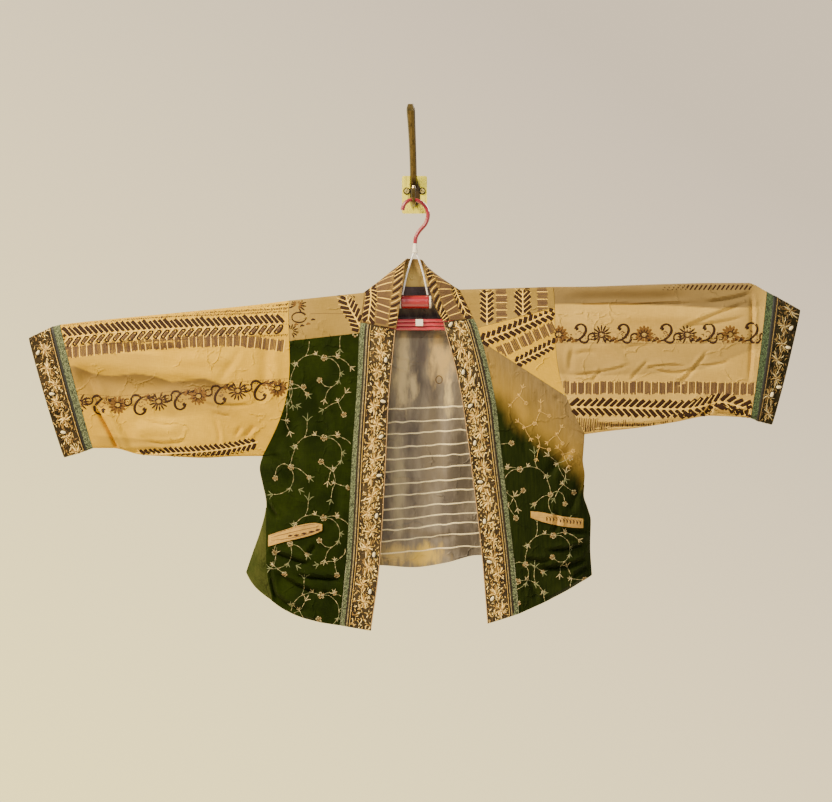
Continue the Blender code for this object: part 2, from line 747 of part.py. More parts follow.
def make_wall_hook(finishes):
    brass = finishes["brass"]
    bpy.ops.mesh.primitive_cube_add(size=1, location=(0, -PLATE_THICK / 2 * MM, 0))
    plate = bpy.context.active_object
    plate.name = "hook_plate"
    plate.scale = (PLATE_WIDTH * MM, PLATE_THICK * MM, PLATE_HEIGHT * MM)
    bpy.ops.object.transform_apply(location=False, rotation=False, scale=True)
    bm = bmesh.new()
    bm.from_mesh(plate.data)
    upright = [e for e in bm.edges if abs(e.verts[0].co.y - e.verts[1].co.y) > MM]
    bmesh.ops.bevel(bm, geom=upright, offset=PLATE_CORNER * MM, segments=4, profile=0.5, affect="EDGES")
    bm.to_mesh(plate.data)
    bm.free()
    plate.data.materials.append(brass)
    face = -PLATE_THICK - SEAM_GAP
    tube("hook_upper_prong",
         [(-1.7, face, 17), (-1.7, face - 2, 17), (-1.7, face - 4, 17), (-1.9, -18, 36),
          (-3.0, -36, 72), (-4.8, -58, 108), (-6.0, -69, 128), (-6.3, -72, 137)],
         1.0, brass, radii=[6.8, 6.3, 6.0, 5.7, 5.8, 6.4, 7.0, 4.6])
    tube("hook_lower_prong",
         [(PRONG_X, face, -9), (PRONG_X, face - 2, -9), (PRONG_X, face - 4, -9), (PRONG_X, -17, -18),
          (PRONG_X, Y_HANGER + 10, -20.8),
          (PRONG_X, Y_HANGER, -20.8), (PRONG_X, -49, -15), (PRONG_X, -54, 0), (PRONG_X, -54, 7)],
         1.0, brass, radii=[5.6, 5.0, 4.5, 3.6, 3.3, 3.3, 3.3, 3.6, 2.6])
    for side in (LEFT, RIGHT):
        bpy.ops.mesh.primitive_cylinder_add(
            vertices=16, radius=SCREW_RADIUS * MM, depth=1.6 * MM, rotation=(pi / 2, 0, 0),
            location=(side * SCREW_X * MM, (face - 0.8) * MM, SCREW_Z * MM))
        screw = bpy.context.active_object
        screw.name = side_name("hook_screw", side)
        screw.data.materials.append(brass)


def make_hanger(finishes):
    red, ivory, steel = finishes["red"], finishes["ivory"], finishes["white"]
    tube("hanger_hook",
         [(-20, Y_HANGER, -31), (-17, Y_HANGER, -21.5), (-10, Y_HANGER, -15.2),
          (-1.6, Y_HANGER, HOOK_TOP_Z), (9, Y_HANGER, -17), (18.5, Y_HANGER, -26), (22.5, Y_HANGER, -39), (18, Y_HANGER, -54),
          (8, Y_HANGER, -65.5), (2.2, Y_HANGER, -76), (1, Y_HANGER, -86)],
         WIRE, red)
    bpy.ops.mesh.primitive_cone_add(
        vertices=12, radius1=4.6 * MM, radius2=3.2 * MM, depth=15 * MM,
        location=(TUBE_X * MM, Y_HANGER * MM, (-86 - SEAM_GAP - 7.5) * MM))
    neck_piece = bpy.context.active_object
    neck_piece.name = "hanger_neck"
    neck_piece.data.materials.append(ivory)
    foot = -86 - SEAM_GAP - 15
    for side in (LEFT, RIGHT):
        tube(side_name("hanger_strut", side),
             [(TUBE_X + side * 2.3, Y_HANGER, foot - 0.8),
              (TUBE_X + side * 6.5, Y_HANGER, foot - 12),
              (TUBE_X + side * 14, Y_HANGER, -138),
              (TUBE_X + side * 21, Y_HANGER, TUBE_Z + TUBE_RADIUS + 0.8)],
             STRUT_RADIUS, steel, sides=6, steps=2)
    half = TUBE_LENGTH / 2
    r = TUBE_RADIUS
    turned("hanger_tube", (TUBE_X, Y_HANGER, TUBE_Z),
           [(-half, r - 1), (-half + 1, r), (half - 1, r), (half, r - 1)], red)
    for side in (LEFT, RIGHT):
        start = half + SEAM_GAP
        ends = [(side * start, r - 0.5), (side * (start + 3), r - 0.5),
                (side * (start + CAP_LENGTH), 6.0)]
        turned(side_name("hanger_cap", side), (TUBE_X, Y_HANGER, TUBE_Z), ends, ivory)
        tube(side_name("hanger_arm", side), arm_points(side), ARM_RADIUS, red, steps=2)
    make_trouser_bar(finishes)


def arm_points(side):
    """The hanger's arm, close under the fold of the shoulder and of the sleeve's top edge."""
    drop = Vector((0, 0, ARM_RADIUS + WALL / 2 + ARM_GAP))
    start_x = TUBE_X + side * (TUBE_LENGTH / 2 + SEAM_GAP + CAP_LENGTH + 0.5)
    start = Vector((start_x, Y_HANGER, TUBE_Z + 2))
    points = [start, start + Vector((side * 4, 0, 0.3))]
    points += [front(side, across, 0) - drop for across in (0.98, 0.86, 0.7, 0.5, 0.25, 0.0)]
    points += [sleeve(side, along, 0) - drop for along in (0.15, 0.3, 0.45, 0.6, 0.75, 0.88)]
    return points


def make_trouser_bar(finishes):
    """Three slim rods, one above the other, with a post up to the arm at each end, and a clip."""
    red, ivory = finishes["red"], finishes["ivory"]
    for i, name in enumerate(("upper", "middle", "lower")):
        z = BAR_Z + (1 - i) * BAR_PITCH
        tube(f"hanger_bar_{name}",
             [(TUBE_X - BAR_HALF, Y_HANGER, z), (TUBE_X + BAR_HALF, Y_HANGER, z)], BAR_RADIUS, red,
             steps=1)
    for side in (LEFT, RIGHT):
        x = TUBE_X + side * (BAR_HALF + SEAM_GAP + POST_RADIUS)
        inner, outer = arm_points(side)[1:3]
        arm_z = mix(inner.z, outer.z, (x - inner.x) / (outer.x - inner.x))
        tube(side_name("hanger_post", side),
             [(x, Y_HANGER, BAR_Z - BAR_PITCH - BAR_RADIUS),
              (x, Y_HANGER, arm_z - ARM_RADIUS - ARM_GAP)],
             POST_RADIUS, red, steps=1)
    bpy.ops.mesh.primitive_cube_add(
        size=1, location=(CLIP_X * MM, (Y_HANGER - BAR_RADIUS - SEAM_GAP - CLIP[1] / 2) * MM,
                          (BAR_Z + BAR_PITCH / 2) * MM))
    clip = bpy.context.active_object
    clip.name = "hanger_clip"
    clip.scale = [size * MM for size in CLIP]
    bpy.ops.object.transform_apply(location=False, rotation=False, scale=True)
    clip.data.materials.append(ivory)


def main():
    for thing in list(bpy.data.objects):
        bpy.data.objects.remove(thing, do_unlink=True)
    finishes = {
        "print": material("patterned silk", (0.63, 0.43, 0.19), 0.6),
        "green": material("moss green crepe", (0.035, 0.06, 0.005), 0.75),
        "ombre": material("gold to green crepe", (0.30, 0.22, 0.04), 0.7),
        "olive": material("olive crepe", (0.10, 0.11, 0.02), 0.75),
        "taupe": material("tie-dyed inner silk", (0.16, 0.13, 0.09), 0.65),
        "braid": material("green woven braid", (0.20, 0.34, 0.19), 0.7),
        "piping": material("dark piping", (0.012, 0.012, 0.008), 0.6),
        "brocade": material("beaded brocade", (0.30, 0.21, 0.10), 0.55),
        "peach": material("peach welt silk", (0.62, 0.38, 0.19), 0.6),
        "brass": material("antique brass", (0.60, 0.47, 0.14), 0.35, 1.0),
        "red": material("red coated wire", (0.38, 0.012, 0.015), 0.25),
        "ivory": material("ivory moulding", (0.80, 0.74, 0.60), 0.4),
        "white": material("white coated wire", (0.80, 0.78, 0.74), 0.35),
    }
    make_back(finishes)
    make_fronts(finishes)
    make_sleeves(finishes)
    make_bands(finishes)
    make_welts(finishes)
    make_wall_hook(finishes)
    make_hanger(finishes)


main()
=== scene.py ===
"""The looks of a patchwork kimono jacket on a red hanger and a brass wall hook.

The wall is the plane y = 0 and the jacket hangs in front of it, at y below 0. Tables and patterns
are in millimetres. A column named "out" counts away from the middle, to the left or right of
someone who looks at the jacket.
"""

from collections import namedtuple
from itertools import dropwhile, takewhile
from math import cos, exp, pi, radians, sin, sqrt
from random import Random

import bpy
import numpy as np
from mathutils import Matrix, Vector
from mathutils.bvhtree import BVHTree


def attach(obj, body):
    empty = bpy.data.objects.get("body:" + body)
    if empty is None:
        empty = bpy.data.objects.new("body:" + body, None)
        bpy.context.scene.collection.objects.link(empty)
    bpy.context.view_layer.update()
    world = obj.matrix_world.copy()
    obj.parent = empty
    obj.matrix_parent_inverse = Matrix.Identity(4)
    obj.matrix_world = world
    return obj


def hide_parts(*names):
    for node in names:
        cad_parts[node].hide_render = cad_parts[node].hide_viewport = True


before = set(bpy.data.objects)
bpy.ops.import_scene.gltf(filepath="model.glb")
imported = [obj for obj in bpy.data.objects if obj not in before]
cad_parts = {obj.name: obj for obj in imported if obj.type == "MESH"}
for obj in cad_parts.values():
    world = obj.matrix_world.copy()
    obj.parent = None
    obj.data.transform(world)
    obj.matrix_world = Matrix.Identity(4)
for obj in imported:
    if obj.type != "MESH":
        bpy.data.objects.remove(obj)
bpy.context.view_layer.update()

MM = 0.001
WALL = 1.4  # silk and its backing
SEAM_GAP = 0.3
LEFT, RIGHT = -1, 1
TO_VIEWER, FROM_VIEWER = (0, -1, 0), (0, 1, 0)

# Rows count down each body panel: the shoulder fold, the end of its curve, the underarm, the hem.
ROW_CAP, ROW_UNDERARM, ROW_HEM = 3, 12, 22
ROW_YOKE = {LEFT: 5, RIGHT: 9}
ROW_PATCH = 4
ROW_GORE = 15.5
ROW_INSET = 0.055  # half a seam gap, in rows of the shoulder fold
SEAM_INSET = 0.01  # the same, in rows of a panel
FOLD_RADIUS = 5.5  # the cloth's turn over the hanger's arm
UNDERARM_RADIUS = 4.0
# Widths that turn a gap in millimetres into a share of a piece.
FRONT_WIDTH, BAND_WIDTH, NECK_WIDTH = 140, 61, 55
SIDE_INSET, NECK_INSET, GORE_INSET = 0.45, 0.5, 0.6  # how far a piece's edge stays off its seam


def rows_of(kind, rows):
    """A table's rows, each with the names of its columns."""
    return [kind(*row) for row in rows]


Sleeve = namedtuple("Sleeve", "out_top z_top out_low z_low bow y_mid half_depth")
SLEEVE = {
    LEFT: rows_of(Sleeve, [
        (207, -181, 251, -437, 24, -37, 15), (262, -188, 296, -437.5, 19, -37, 15.5),
        (330, -195, 347, -440, 10, -37, 15), (401, -202, 405, -437.5, 4, -36, 14.5),
        (470, -208.5, 455, -434.5, 0, -35, 13.5), (536, -215, 500, -424, 0, -35, 12.5),
        (586, -220.5, 532, -424, 0, -34, 12),
    ]),
    RIGHT: rows_of(Sleeve, [
        (228.5, -158.6, 281, -401, 22, -41, 15), (289, -158.2, 322, -395.5, 17, -42, 15.5),
        (350, -156.2, 370, -390, 9, -43, 15), (420, -154, 428, -381, 3, -44, 14.5),
        (490, -152.5, 487, -370.5, 0, -45, 13.5), (549, -152.5, 528, -372, 0, -46, 12.5),
        (579, -166.5, 553, -374, 0, -47, 12),
    ]),
}
# The cuff trim: where the sleeve ends, then the ends of the braid, the piping and the brocade.
CUFF = {
    LEFT: rows_of(Sleeve, [
        SLEEVE[LEFT][-1],
        (597.5, -223.5, 542, -427.5, 0, -34, 12.5), (601, -225, 545, -428.5, 0, -34, 12.5),
        (638, -242.5, 580, -439.5, 0, -34, 12),
    ]),
    RIGHT: rows_of(Sleeve, [
        SLEEVE[RIGHT][-1],
        (590, -172.5, 562, -377.5, 0, -47, 12.5), (594, -174.5, 565, -379, 0, -47, 12.5),
        (634, -197, 588, -385, 0, -48, 12),
    ]),
}

Edge = namedtuple("Edge", "row out y z")
SIDE_BACK = {
    LEFT: rows_of(Edge, [
        (13, 255.5, -41, -457), (14, 250.7, -42, -482),
        (15, 244.5, -43, -512), (16, 246, -43, -531), (18, 255.5, -43, -565), (20, 267, -43, -597),
        (22, 277.8, -43, -628.5),
    ]),
    RIGHT: rows_of(Edge, [
        (13, 279, -44, -424), (14, 277.3, -46, -445),
        (15, 280.3, -47, -469.5), (16, 277.8, -47, -500),
        (17, 284, -47, -522), (18, 289.5, -47, -543),
        (20, 288.5, -47, -586), (22, 291.3, -47, -632.9),
    ]),
}
SIDE_FRONT = {
    LEFT: SIDE_BACK[LEFT][:3] + rows_of(Edge, [
        (16, 244, -48, -533), (18, 243.5, -54, -576), (20, 242, -59, -622), (22, 232.7, -63, -673),
    ]),
    RIGHT: SIDE_BACK[RIGHT],
}
# Where the neck band and the front band are sewn to the body, from the shoulder fold to the hem.
SEAM = {
    LEFT: rows_of(Edge, [
        (0, 83.4, -38, -168), (3, 83, -45.5, -175), (4, 86, -52.5, -199), (5, 90.3, -56, -235.5),
        (8, 93.5, -60, -312), (12, 101.5, -67.5, -430),
        (15, 106, -71.5, -520), (18, 111, -74, -606), (22, 120.8, -76.5, -711),
    ]),
    RIGHT: rows_of(Edge, [
        (0, 71.9, -38, -163), (3, 78.5, -46.5, -172), (4, 104, -57, -227), (9, 111, -58.5, -250),
        (12, 132, -63.5, -345), (14, 141, -67, -425), (17, 154, -72, -535), (19, 161, -74.5, -598),
        (22, 169.6, -76.5, -692.2),
    ]),
}
# The front band's free edge, from the neck band to the hem.
FREE = {
    LEFT: rows_of(Edge, [
        (0, 30.6, -61, -229.5), (1, 41.5, -65.5, -345),
        (2, 46.3, -70.5, -447.5), (3, 55.9, -75.5, -607.8), (4, 70.4, -78, -719.4),
    ]),
    RIGHT: rows_of(Edge, [
        (0, 46.9, -61.5, -217.3), (1, 71, -66, -312.4),
        (2, 83.9, -69, -392.2), (3, 106.4, -75, -572.2), (4, 118.4, -78, -708.1),
    ]),
}
ROW_BAND = {LEFT: 4.5, RIGHT: 3.6}  # the rows where the front bands begin
HEM_DROP = {LEFT: 9.0, RIGHT: 2.0}
# The band across its width: green braid, dark piping, brocade.
BAND = {"braid": (0.0, 0.19), "piping": (0.19, 0.25), "brocade": (0.25, 1.0)}
TRIM = ["braid", "piping", "brocade"]  # the parts of a band or cuff, from its seam

# The back's neck seam between the two shoulder folds, and its hem above a straight line.
Nape = namedtuple("Nape", "x y z")
NAPE = rows_of(Nape, [
    (-83.4, -38, -168), (-76, -29.5, -163), (-60, -23, -159), (-30, -20, -160.5),
    (0, -19.5, -161), (28, -20, -160.5), (52, -23.5, -159), (65, -30, -160), (71.9, -38, -163),
])
Hem = namedtuple("Hem", "across rise")
BACK_HEM = rows_of(Hem, [
    (0.0, 0.0), (0.2, 8.0), (0.38, 10.0), (0.48, 7.0), (0.58, 15.0), (0.675, 28.0),
    (0.85, 17.0), (1.0, 0.0),
])
Y_BACK = -18.5

# The neck band's free edge, from the left front round the nape to the right front. Its sewn edge
# follows the fronts' seams up to NECK_TURN along it, and the nape between them.
NECK_TURN = 0.3
Neck = namedtuple("Neck", "along x y z crown")
NECK = rows_of(Neck, [
    (0.0, -30.2, -60.5, -228.2, 0), (0.1, -25, -59.5, -196, 1),
    (0.2, -20.8, -57.5, -168, 3), (0.29, -17.8, -52, -143, 5),
    (0.37, -15.4, -42, -118, 6), (0.44, -11, -29.5, -110.5, 5),
    (0.5, 1, -22, -110, 3), (0.56, 12.5, -29, -113, 5),
    (0.63, 16.8, -41, -124, 6), (0.71, 20.8, -51, -146, 5),
    (0.8, 26.3, -57.5, -168, 3), (0.9, 35, -60, -194, 1), (1.0, 46.5, -61.5, -215.8, 0),
])

# Folds of the cloth: from, to (out, z), half width and depth; a ridge has a negative depth.
Fold = namedtuple("Fold", "out_a z_a out_b z_b half_width depth")
SLEEVE_FOLDS = {
    LEFT: rows_of(Fold, [
        (535, -292, 345, -318, 13, 3.2), (522, -338, 500, -412, 11, 4.5),
        (470, -400, 300, -425, 14, -3.0), (320, -232, 215, -300, 14, 2.6),
    ]),
    RIGHT: rows_of(Fold, [
        (250, -196, 540, -180, 13, 3.0), (560, -190, 545, -330, 11, 3.6),
        (290, -285, 520, -300, 15, -3.2), (300, -372, 460, -350, 14, 2.8),
    ]),
}
FRONT_FOLDS = {
    LEFT: rows_of(Fold, [
        (248, -508, 180, -538, 12, 3.0), (236, -640, 140, -668, 13, 3.0),
        (236, -420, 170, -360, 15, 2.4),
    ]),
    RIGHT: rows_of(Fold, [
        (275, -498, 200, -470, 13, 2.8), (286, -590, 190, -640, 13, 3.2),
        (262, -420, 190, -330, 15, 2.6),
    ]),
}

Welt = namedtuple("Welt", "out z half_height")
WELT = {
    LEFT: rows_of(Welt, [
        (239, -575.5, 9), (213, -567, 9.5), (185, -559, 10.5), (163, -554, 9), (150, -552, 5),
    ]),
    RIGHT: rows_of(Welt, [
        (189, -531, 5), (208, -535.5, 7.5), (232, -541, 8), (256, -545, 8), (276, -547, 7.5),
    ]),
}
WELT_LIFT = 2.2


def spline(rows, at):
    """The row at a place along a table: a cubic through the rows against their first column, kept
    from swinging past its rows."""
    i = max(k for k in range(len(rows) - 1) if k == 0 or rows[k][0] <= at)
    a, b = rows[i], rows[i + 1]
    before = rows[i - 1] if i > 0 else a
    after = rows[i + 2] if i + 2 < len(rows) else b
    span = b[0] - a[0]
    t = (at - a[0]) / span

    def rise(low, high, k, near, far):
        """The cubic's slope at one end, from the rows on both sides of it."""
        slope_here = (high[k] - low[k]) / (high[0] - low[0])
        if near[0] != far[0]:
            sides = [(b[k] - a[k]) / span, (far[k] - near[k]) / (far[0] - near[0])]
            if sides[0] * sides[1] <= 0:
                return 0.0
            most = 2.5 * min(abs(side) for side in sides)
            slope_here = min(max(slope_here, -most), most)
        return slope_here * span

    values = []
    for k in range(1, len(a)):
        rise_a = rise(before, b, k, before, a)
        rise_b = rise(a, after, k, b, after)
        values.append(
            a[k] * (2 * t**3 - 3 * t**2 + 1)
            + rise_a * (t**3 - 2 * t**2 + t)
            + b[k] * (3 * t**2 - 2 * t**3)
            + rise_b * (t**3 - t**2)
        )
    return values


def mix(a, b, t):
    """A value a share of the way from one to another."""
    return a + (b - a) * t


def smooth(t):
    """A share that starts and ends gently, held between 0 and 1."""
    t = min(max(t, 0.0), 1.0)
    return t * t * (3 - 2 * t)


def relief(folds, out, z):
    """How deep the folds press the cloth in at one place, in millimetres."""
    depth = 0.0
    for fold in folds:
        a = Vector((fold.out_a, fold.z_a))
        line = Vector((fold.out_b, fold.z_b)) - a
        here = Vector((out, z)) - a
        along = here.dot(line) / line.length_squared
        aside = (here - line * min(max(along, 0.0), 1.0)).length
        ends = smooth(min(along, 1 - along) * 4 + 0.2)
        depth += fold.depth * ends * exp(-((aside / fold.half_width) ** 2))
    return depth


def girth(row):
    """The height of a sleeve's section, and the lengths of its top turn, side and lower turn."""
    height = Vector((row.out_low - row.out_top, row.z_low - row.z_top)).length
    side = height - FOLD_RADIUS - UNDERARM_RADIUS
    return height, FOLD_RADIUS * pi / 2, side, UNDERARM_RADIUS * pi / 2


def section(row, at):
    """Height and depth round a sleeve, in millimetres from its top fold: at is 0 there, 0.5 at the
    lower fold, the front up to 0.5 and the back beyond it."""
    height, arc_top, side, arc_low = girth(row)
    front = at if at <= 0.5 else 1 - at
    run = 2 * front * (arc_top + side + arc_low)
    if run < arc_top:
        turn = run / FOLD_RADIUS
        down, depth = FOLD_RADIUS * (1 - cos(turn)), FOLD_RADIUS * sin(turn)
    elif run < arc_top + side:
        k = (run - arc_top) / side
        down = FOLD_RADIUS + side * k
        level = mix(FOLD_RADIUS, UNDERARM_RADIUS, k)
        depth = level + (row.half_depth - level) * sin(pi * k) ** 0.7
    else:
        turn = (arc_top + side + arc_low - run) / UNDERARM_RADIUS
        down, depth = height - UNDERARM_RADIUS * (1 - cos(turn)), UNDERARM_RADIUS * sin(turn)
    return down / height, depth if at <= 0.5 else -depth


def ring(side, row, at, folds=()):
    """A point round one section of a sleeve or cuff."""
    down, depth = section(row, at)
    out = mix(row.out_top, row.out_low, down) - row.bow * sin(pi * down**1.3)
    z = mix(row.z_top, row.z_low, down)
    edge = smooth(abs(depth) / 10 - 0.55)
    press = relief(folds, out, z if at <= 0.5 else z + 14) * edge * (1 if at <= 0.5 else 0.8)
    depth -= press if at <= 0.5 else -press
    return Vector((side * out, row.y_mid - depth, z))


def sleeve(side, along, at):
    """A point on a sleeve: along is 0 at the armhole and 1 at the cuff trim."""
    rows = SLEEVE[side]
    first, last = rows[0].out_top, rows[-1].out_top
    table = [(row.out_top, *row[1:]) for row in rows]
    out_top = mix(first, last, along)
    row = Sleeve(out_top, *spline(table, out_top))
    fade = smooth(along * 6) * smooth((1 - along) * 8)
    folds = [fold._replace(depth=fold.depth * fade) for fold in SLEEVE_FOLDS[side]]
    return ring(side, row, at, folds)


def round_armhole(row):
    """Where a body row lies round the armhole: 0 at the shoulder fold, 0.5 at the underarm."""
    _, arc_top, side, arc_low = girth(SLEEVE[LEFT][0])
    total = arc_top + side + arc_low
    marks = [0.0, arc_top / total / 2, (arc_top + side) / total / 2, 0.5]
    if row <= ROW_CAP:
        return mix(marks[0], marks[1], row / ROW_CAP)
    last = ROW_UNDERARM - 1
    if row <= last:
        return mix(marks[1], marks[2], (row - ROW_CAP) / (last - ROW_CAP))
    return mix(marks[2], marks[3], row - last)


def side_edge(side, row, face):
    """The outer edge of a body panel: round the armhole, then down the side seam."""
    if row <= ROW_UNDERARM:
        at = round_armhole(row)
        return ring(side, SLEEVE[side][0], at if face == "front" else 1 - at)
    underarm = ring(side, SLEEVE[side][0], 0.5)
    start = Edge(ROW_UNDERARM, side * underarm.x, underarm.y, underarm.z)
    table = [start] + (SIDE_FRONT if face == "front" else SIDE_BACK)[side]
    out, y, z = spline(table, row)
    return Vector((side * out, y, z))


def seam_edge(side, row):
    """The seam of the neck band and the front band, which turns over the shoulder first."""
    if row < ROW_CAP:
        top, end = SEAM[side][0], SEAM[side][1]
        turn = row / ROW_CAP * pi / 2
        depth = (top.y - end.y) * sin(turn)
        out = mix(top.out, end.out, row / ROW_CAP)
        return Vector((side * out, top.y - depth, mix(top.z, end.z, 1 - cos(turn))))
    out, y, z = spline(SEAM[side][1:], row)
    return Vector((side * out, y, z))


def swell(across, row):
    """How a panel's depth grows from its side: evenly at the armhole, roundly below it."""
    even = sin(pi / 2 * across)
    full = 0.45 * sqrt(1 - (1 - across) ** 2) + 0.55 * (1 - (1 - across) ** 3)
    return mix(even, full, smooth((row - 10) / 4))


def front(side, across, row):
    """A point on a front: across is 0 at the side and 1 at the band."""
    a, b = side_edge(side, row, "front"), seam_edge(side, row)
    point = a.lerp(b, across)
    point.y = mix(a.y, b.y, swell(across, row))
    below = max(row - ROW_UNDERARM, 0) / (ROW_HEM - ROW_UNDERARM)
    point.z -= HEM_DROP[side] * sin(pi * across**0.8) * below**3
    edge = smooth(across * 5) * smooth((1 - across) * 5) * smooth((ROW_HEM - row) * 0.8)
    point.y += relief(FRONT_FOLDS[side], abs(point.x), point.z) * edge
    return point


def top_edge(x):
    """Depth and height of the back's upper edge: the shoulder folds, with the nape between."""
    for side, end in ((LEFT, NAPE[0]), (RIGHT, NAPE[-1])):
        if side * x > side * end.x:
            tip = ring(side, SLEEVE[side][0], 0)
            point = front(side, (tip.x - x) / (tip.x - end.x), 0)
            return point.y, point.z
    return spline(NAPE, x)


def back(across, row):
    """A point on the back: across is 0 at the left side and 1 at the right."""
    a, b = side_edge(LEFT, row, "back"), side_edge(RIGHT, row, "back")
    point = a.lerp(b, across)
    tips = [ring(side, SLEEVE[side][0], 0) for side in (LEFT, RIGHT)]
    top_y, top_z = top_edge(mix(tips[0].x, tips[1].x, across))
    down = row / ROW_HEM
    top_rise = top_z - mix(tips[0].z, tips[1].z, across)
    hem_rise = spline(BACK_HEM, across)[0]
    point.z += top_rise * (1 - down) ** 3 + hem_rise * down**2
    nearest = min(across, 1 - across)
    side_y = a.y if across < 0.5 else b.y
    hang = mix(side_y, Y_BACK - 1.5 * down**2, swell(min(nearest * 4.4, 1.0), row))
    turn = sin(min(row / ROW_CAP, 1.0) * pi / 2)
    fold = FOLD_RADIUS * smooth((abs(top_y) - 19) / 14)
    at_top = 1.0 if row <= ROW_CAP else (1 - smooth((row - ROW_CAP) / 3)) * smooth(nearest * 16)
    point.y = mix(hang, top_y + fold * turn, at_top)
    return point


def gore(across, row):
    """A point on the left side gore: across is 0 at the back and 1 at the front."""
    a, b = side_edge(LEFT, row, "back"), side_edge(LEFT, row, "front")
    point = a.lerp(b, across)
    width = (b - a).length
    point.x -= 0.08 * width * sin(pi * across)
    point.y -= 0.12 * width * sin(pi * across)
    return point


def band(side, across, along):
    """A point on a front band: across is 0 at the seam and 1 at the free edge."""
    a = seam_edge(side, mix(ROW_BAND[side], ROW_HEM, along))
    out, y, z = spline(FREE[side], 4 * along)
    b = Vector((side * out, y, z))
    point = a.lerp(b, across)
    point.y -= 1.2 * sin(pi * across)
    return point


def neck(across, along):
    """A point on the neck band: across is 0 at its seam and 1 at its free edge."""
    fx, fy, fz, crown = spline(NECK, along)
    if along < NECK_TURN:
        a = seam_edge(LEFT, ROW_BAND[LEFT] * (1 - along / NECK_TURN))
    elif along > 1 - NECK_TURN:
        a = seam_edge(RIGHT, ROW_BAND[RIGHT] * (1 - (1 - along) / NECK_TURN))
    else:
        behind = (along - NECK_TURN) / (1 - 2 * NECK_TURN)
        x = mix(NAPE[0].x, NAPE[-1].x, behind)
        y, z = spline(NAPE, x)
        a = Vector((x, y, z))
    point = a.lerp(Vector((fx, fy, fz)), across)
    turned_back = 1 - 2 * abs(along - 0.5)
    outwards = Vector((point.x * 0.5, 18 * turned_back - 12, 22)).normalized()
    return point + outwards * crown * sin(pi * across)


def mixed(a, b, t):
    """A point between two points of the plane."""
    return (a[0] + (b[0] - a[0]) * t, a[1] + (b[1] - a[1]) * t)


def spread(first, last, count):
    """Even values from first to last, both included."""
    return [mix(first, last, i / count) for i in range(count + 1)]


def side_name(stem, side):
    """The name of a left or right piece."""
    return f"{stem}_{'left' if side == LEFT else 'right'}"


CREASE_STEPS = 8


def crease_depth(x, z, creases):
    """How deep curved creases press a cloth in: a soft trough with a lower ridge on its left."""
    pressed = np.zeros_like(x)
    t = np.linspace(0, 1, CREASE_STEPS + 1)
    for x_a, z_a, x_m, z_m, x_b, z_b, width, depth in creases:
        line_x = (1 - t) ** 2 * x_a + 2 * t * (1 - t) * x_m + t**2 * x_b
        line_z = (1 - t) ** 2 * z_a + 2 * t * (1 - t) * z_m + t**2 * z_b
        near = np.full_like(x, 1e9)
        side, along = np.zeros_like(x), np.zeros_like(x)
        for k in range(CREASE_STEPS):
            dx, dz = line_x[k + 1] - line_x[k], line_z[k + 1] - line_z[k]
            at = ((x - line_x[k]) * dx + (z - line_z[k]) * dz) / (dx * dx + dz * dz)
            at = np.clip(at, 0, 1)
            off_x, off_z = x - line_x[k] - at * dx, z - line_z[k] - at * dz
            gap = np.hypot(off_x, off_z)
            closer = gap < near
            side = np.where(closer, np.sign(dx * off_z - dz * off_x), side)
            along = np.where(closer, (k + at) / CREASE_STEPS, along)
            near = np.where(closer, gap, near)
        away = near / width
        ends = np.clip(np.minimum(along, 1 - along) * 4, 0, 1)
        ends = ends * ends * (3 - 2 * ends)
        trough = np.exp(-(away**2)) - 0.55 * np.exp(-((away * side - 1.4) ** 2))
        pressed += depth * ends * trough
    return pressed


def grid_of(place_at, columns, rows):
    """The points of a cloth at each column and row."""
    return np.array([[place_at(u, v)[:] for u in columns] for v in rows])


def normals(grid, closed=False):
    """The directions that stand off a grid of points. A closed one goes round a tube."""
    down = np.gradient(grid, axis=0)
    if closed:
        right = np.roll(grid, -1, 1) - np.roll(grid, 1, 1)
    else:
        right = np.gradient(grid, axis=1)
    out = np.cross(right, down)
    return out / np.linalg.norm(out, axis=2, keepdims=True)


def creased(grid, creases, hold, back_creases=(), closed=False):
    """The grid with its creases pressed in, along y, by as much as hold says at each point."""
    facing = np.abs(normals(grid, closed)[:, :, 1])
    moved = grid.copy()
    middle = (grid[:, :, 1].min() + grid[:, :, 1].max()) / 2 if closed else 1e9
    in_front = grid[:, :, 1] < middle
    front_depth = crease_depth(grid[:, :, 0], grid[:, :, 2], creases)
    back_depth = crease_depth(grid[:, :, 0], grid[:, :, 2], back_creases)
    moved[:, :, 1] += np.where(in_front, front_depth, -back_depth) * facing * hold
    return moved


def held(rows, columns, top=0.0, bottom=0.0, sides=0.0):
    """A weight over a grid that falls to 0 at edges that are sewn: the share of it that gives way."""
    weight = np.ones((rows, columns))
    down, over = np.linspace(0, 1, rows)[:, None], np.linspace(0, 1, columns)[None, :]
    for share, place in ((top, down), (bottom, 1 - down), (sides, over), (sides, 1 - over)):
        if share:
            t = np.clip(place / share, 0, 1)
            weight = weight * t * t * (3 - 2 * t)
    return weight


def piece(name, verts, faces, finishes, slots=None, uvs=None, smooth_angle=38):
    """A finished mesh in the scene, riding on the frame."""
    mesh = bpy.data.meshes.new(name)
    mesh.from_pydata(verts, [], faces)
    for finish in finishes:
        mesh.materials.append(finish)
    if slots is not None:
        mesh.polygons.foreach_set("material_index", slots)
    if uvs is not None:
        layer = mesh.uv_layers.new(name="cut")
        layer.data.foreach_set("uv", np.asarray(uvs, float).ravel())
    mesh.shade_smooth()
    mesh.set_sharp_from_angle(angle=radians(smooth_angle))
    made = bpy.data.objects.new(name, mesh)
    bpy.context.scene.collection.objects.link(made)
    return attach(made, "root")


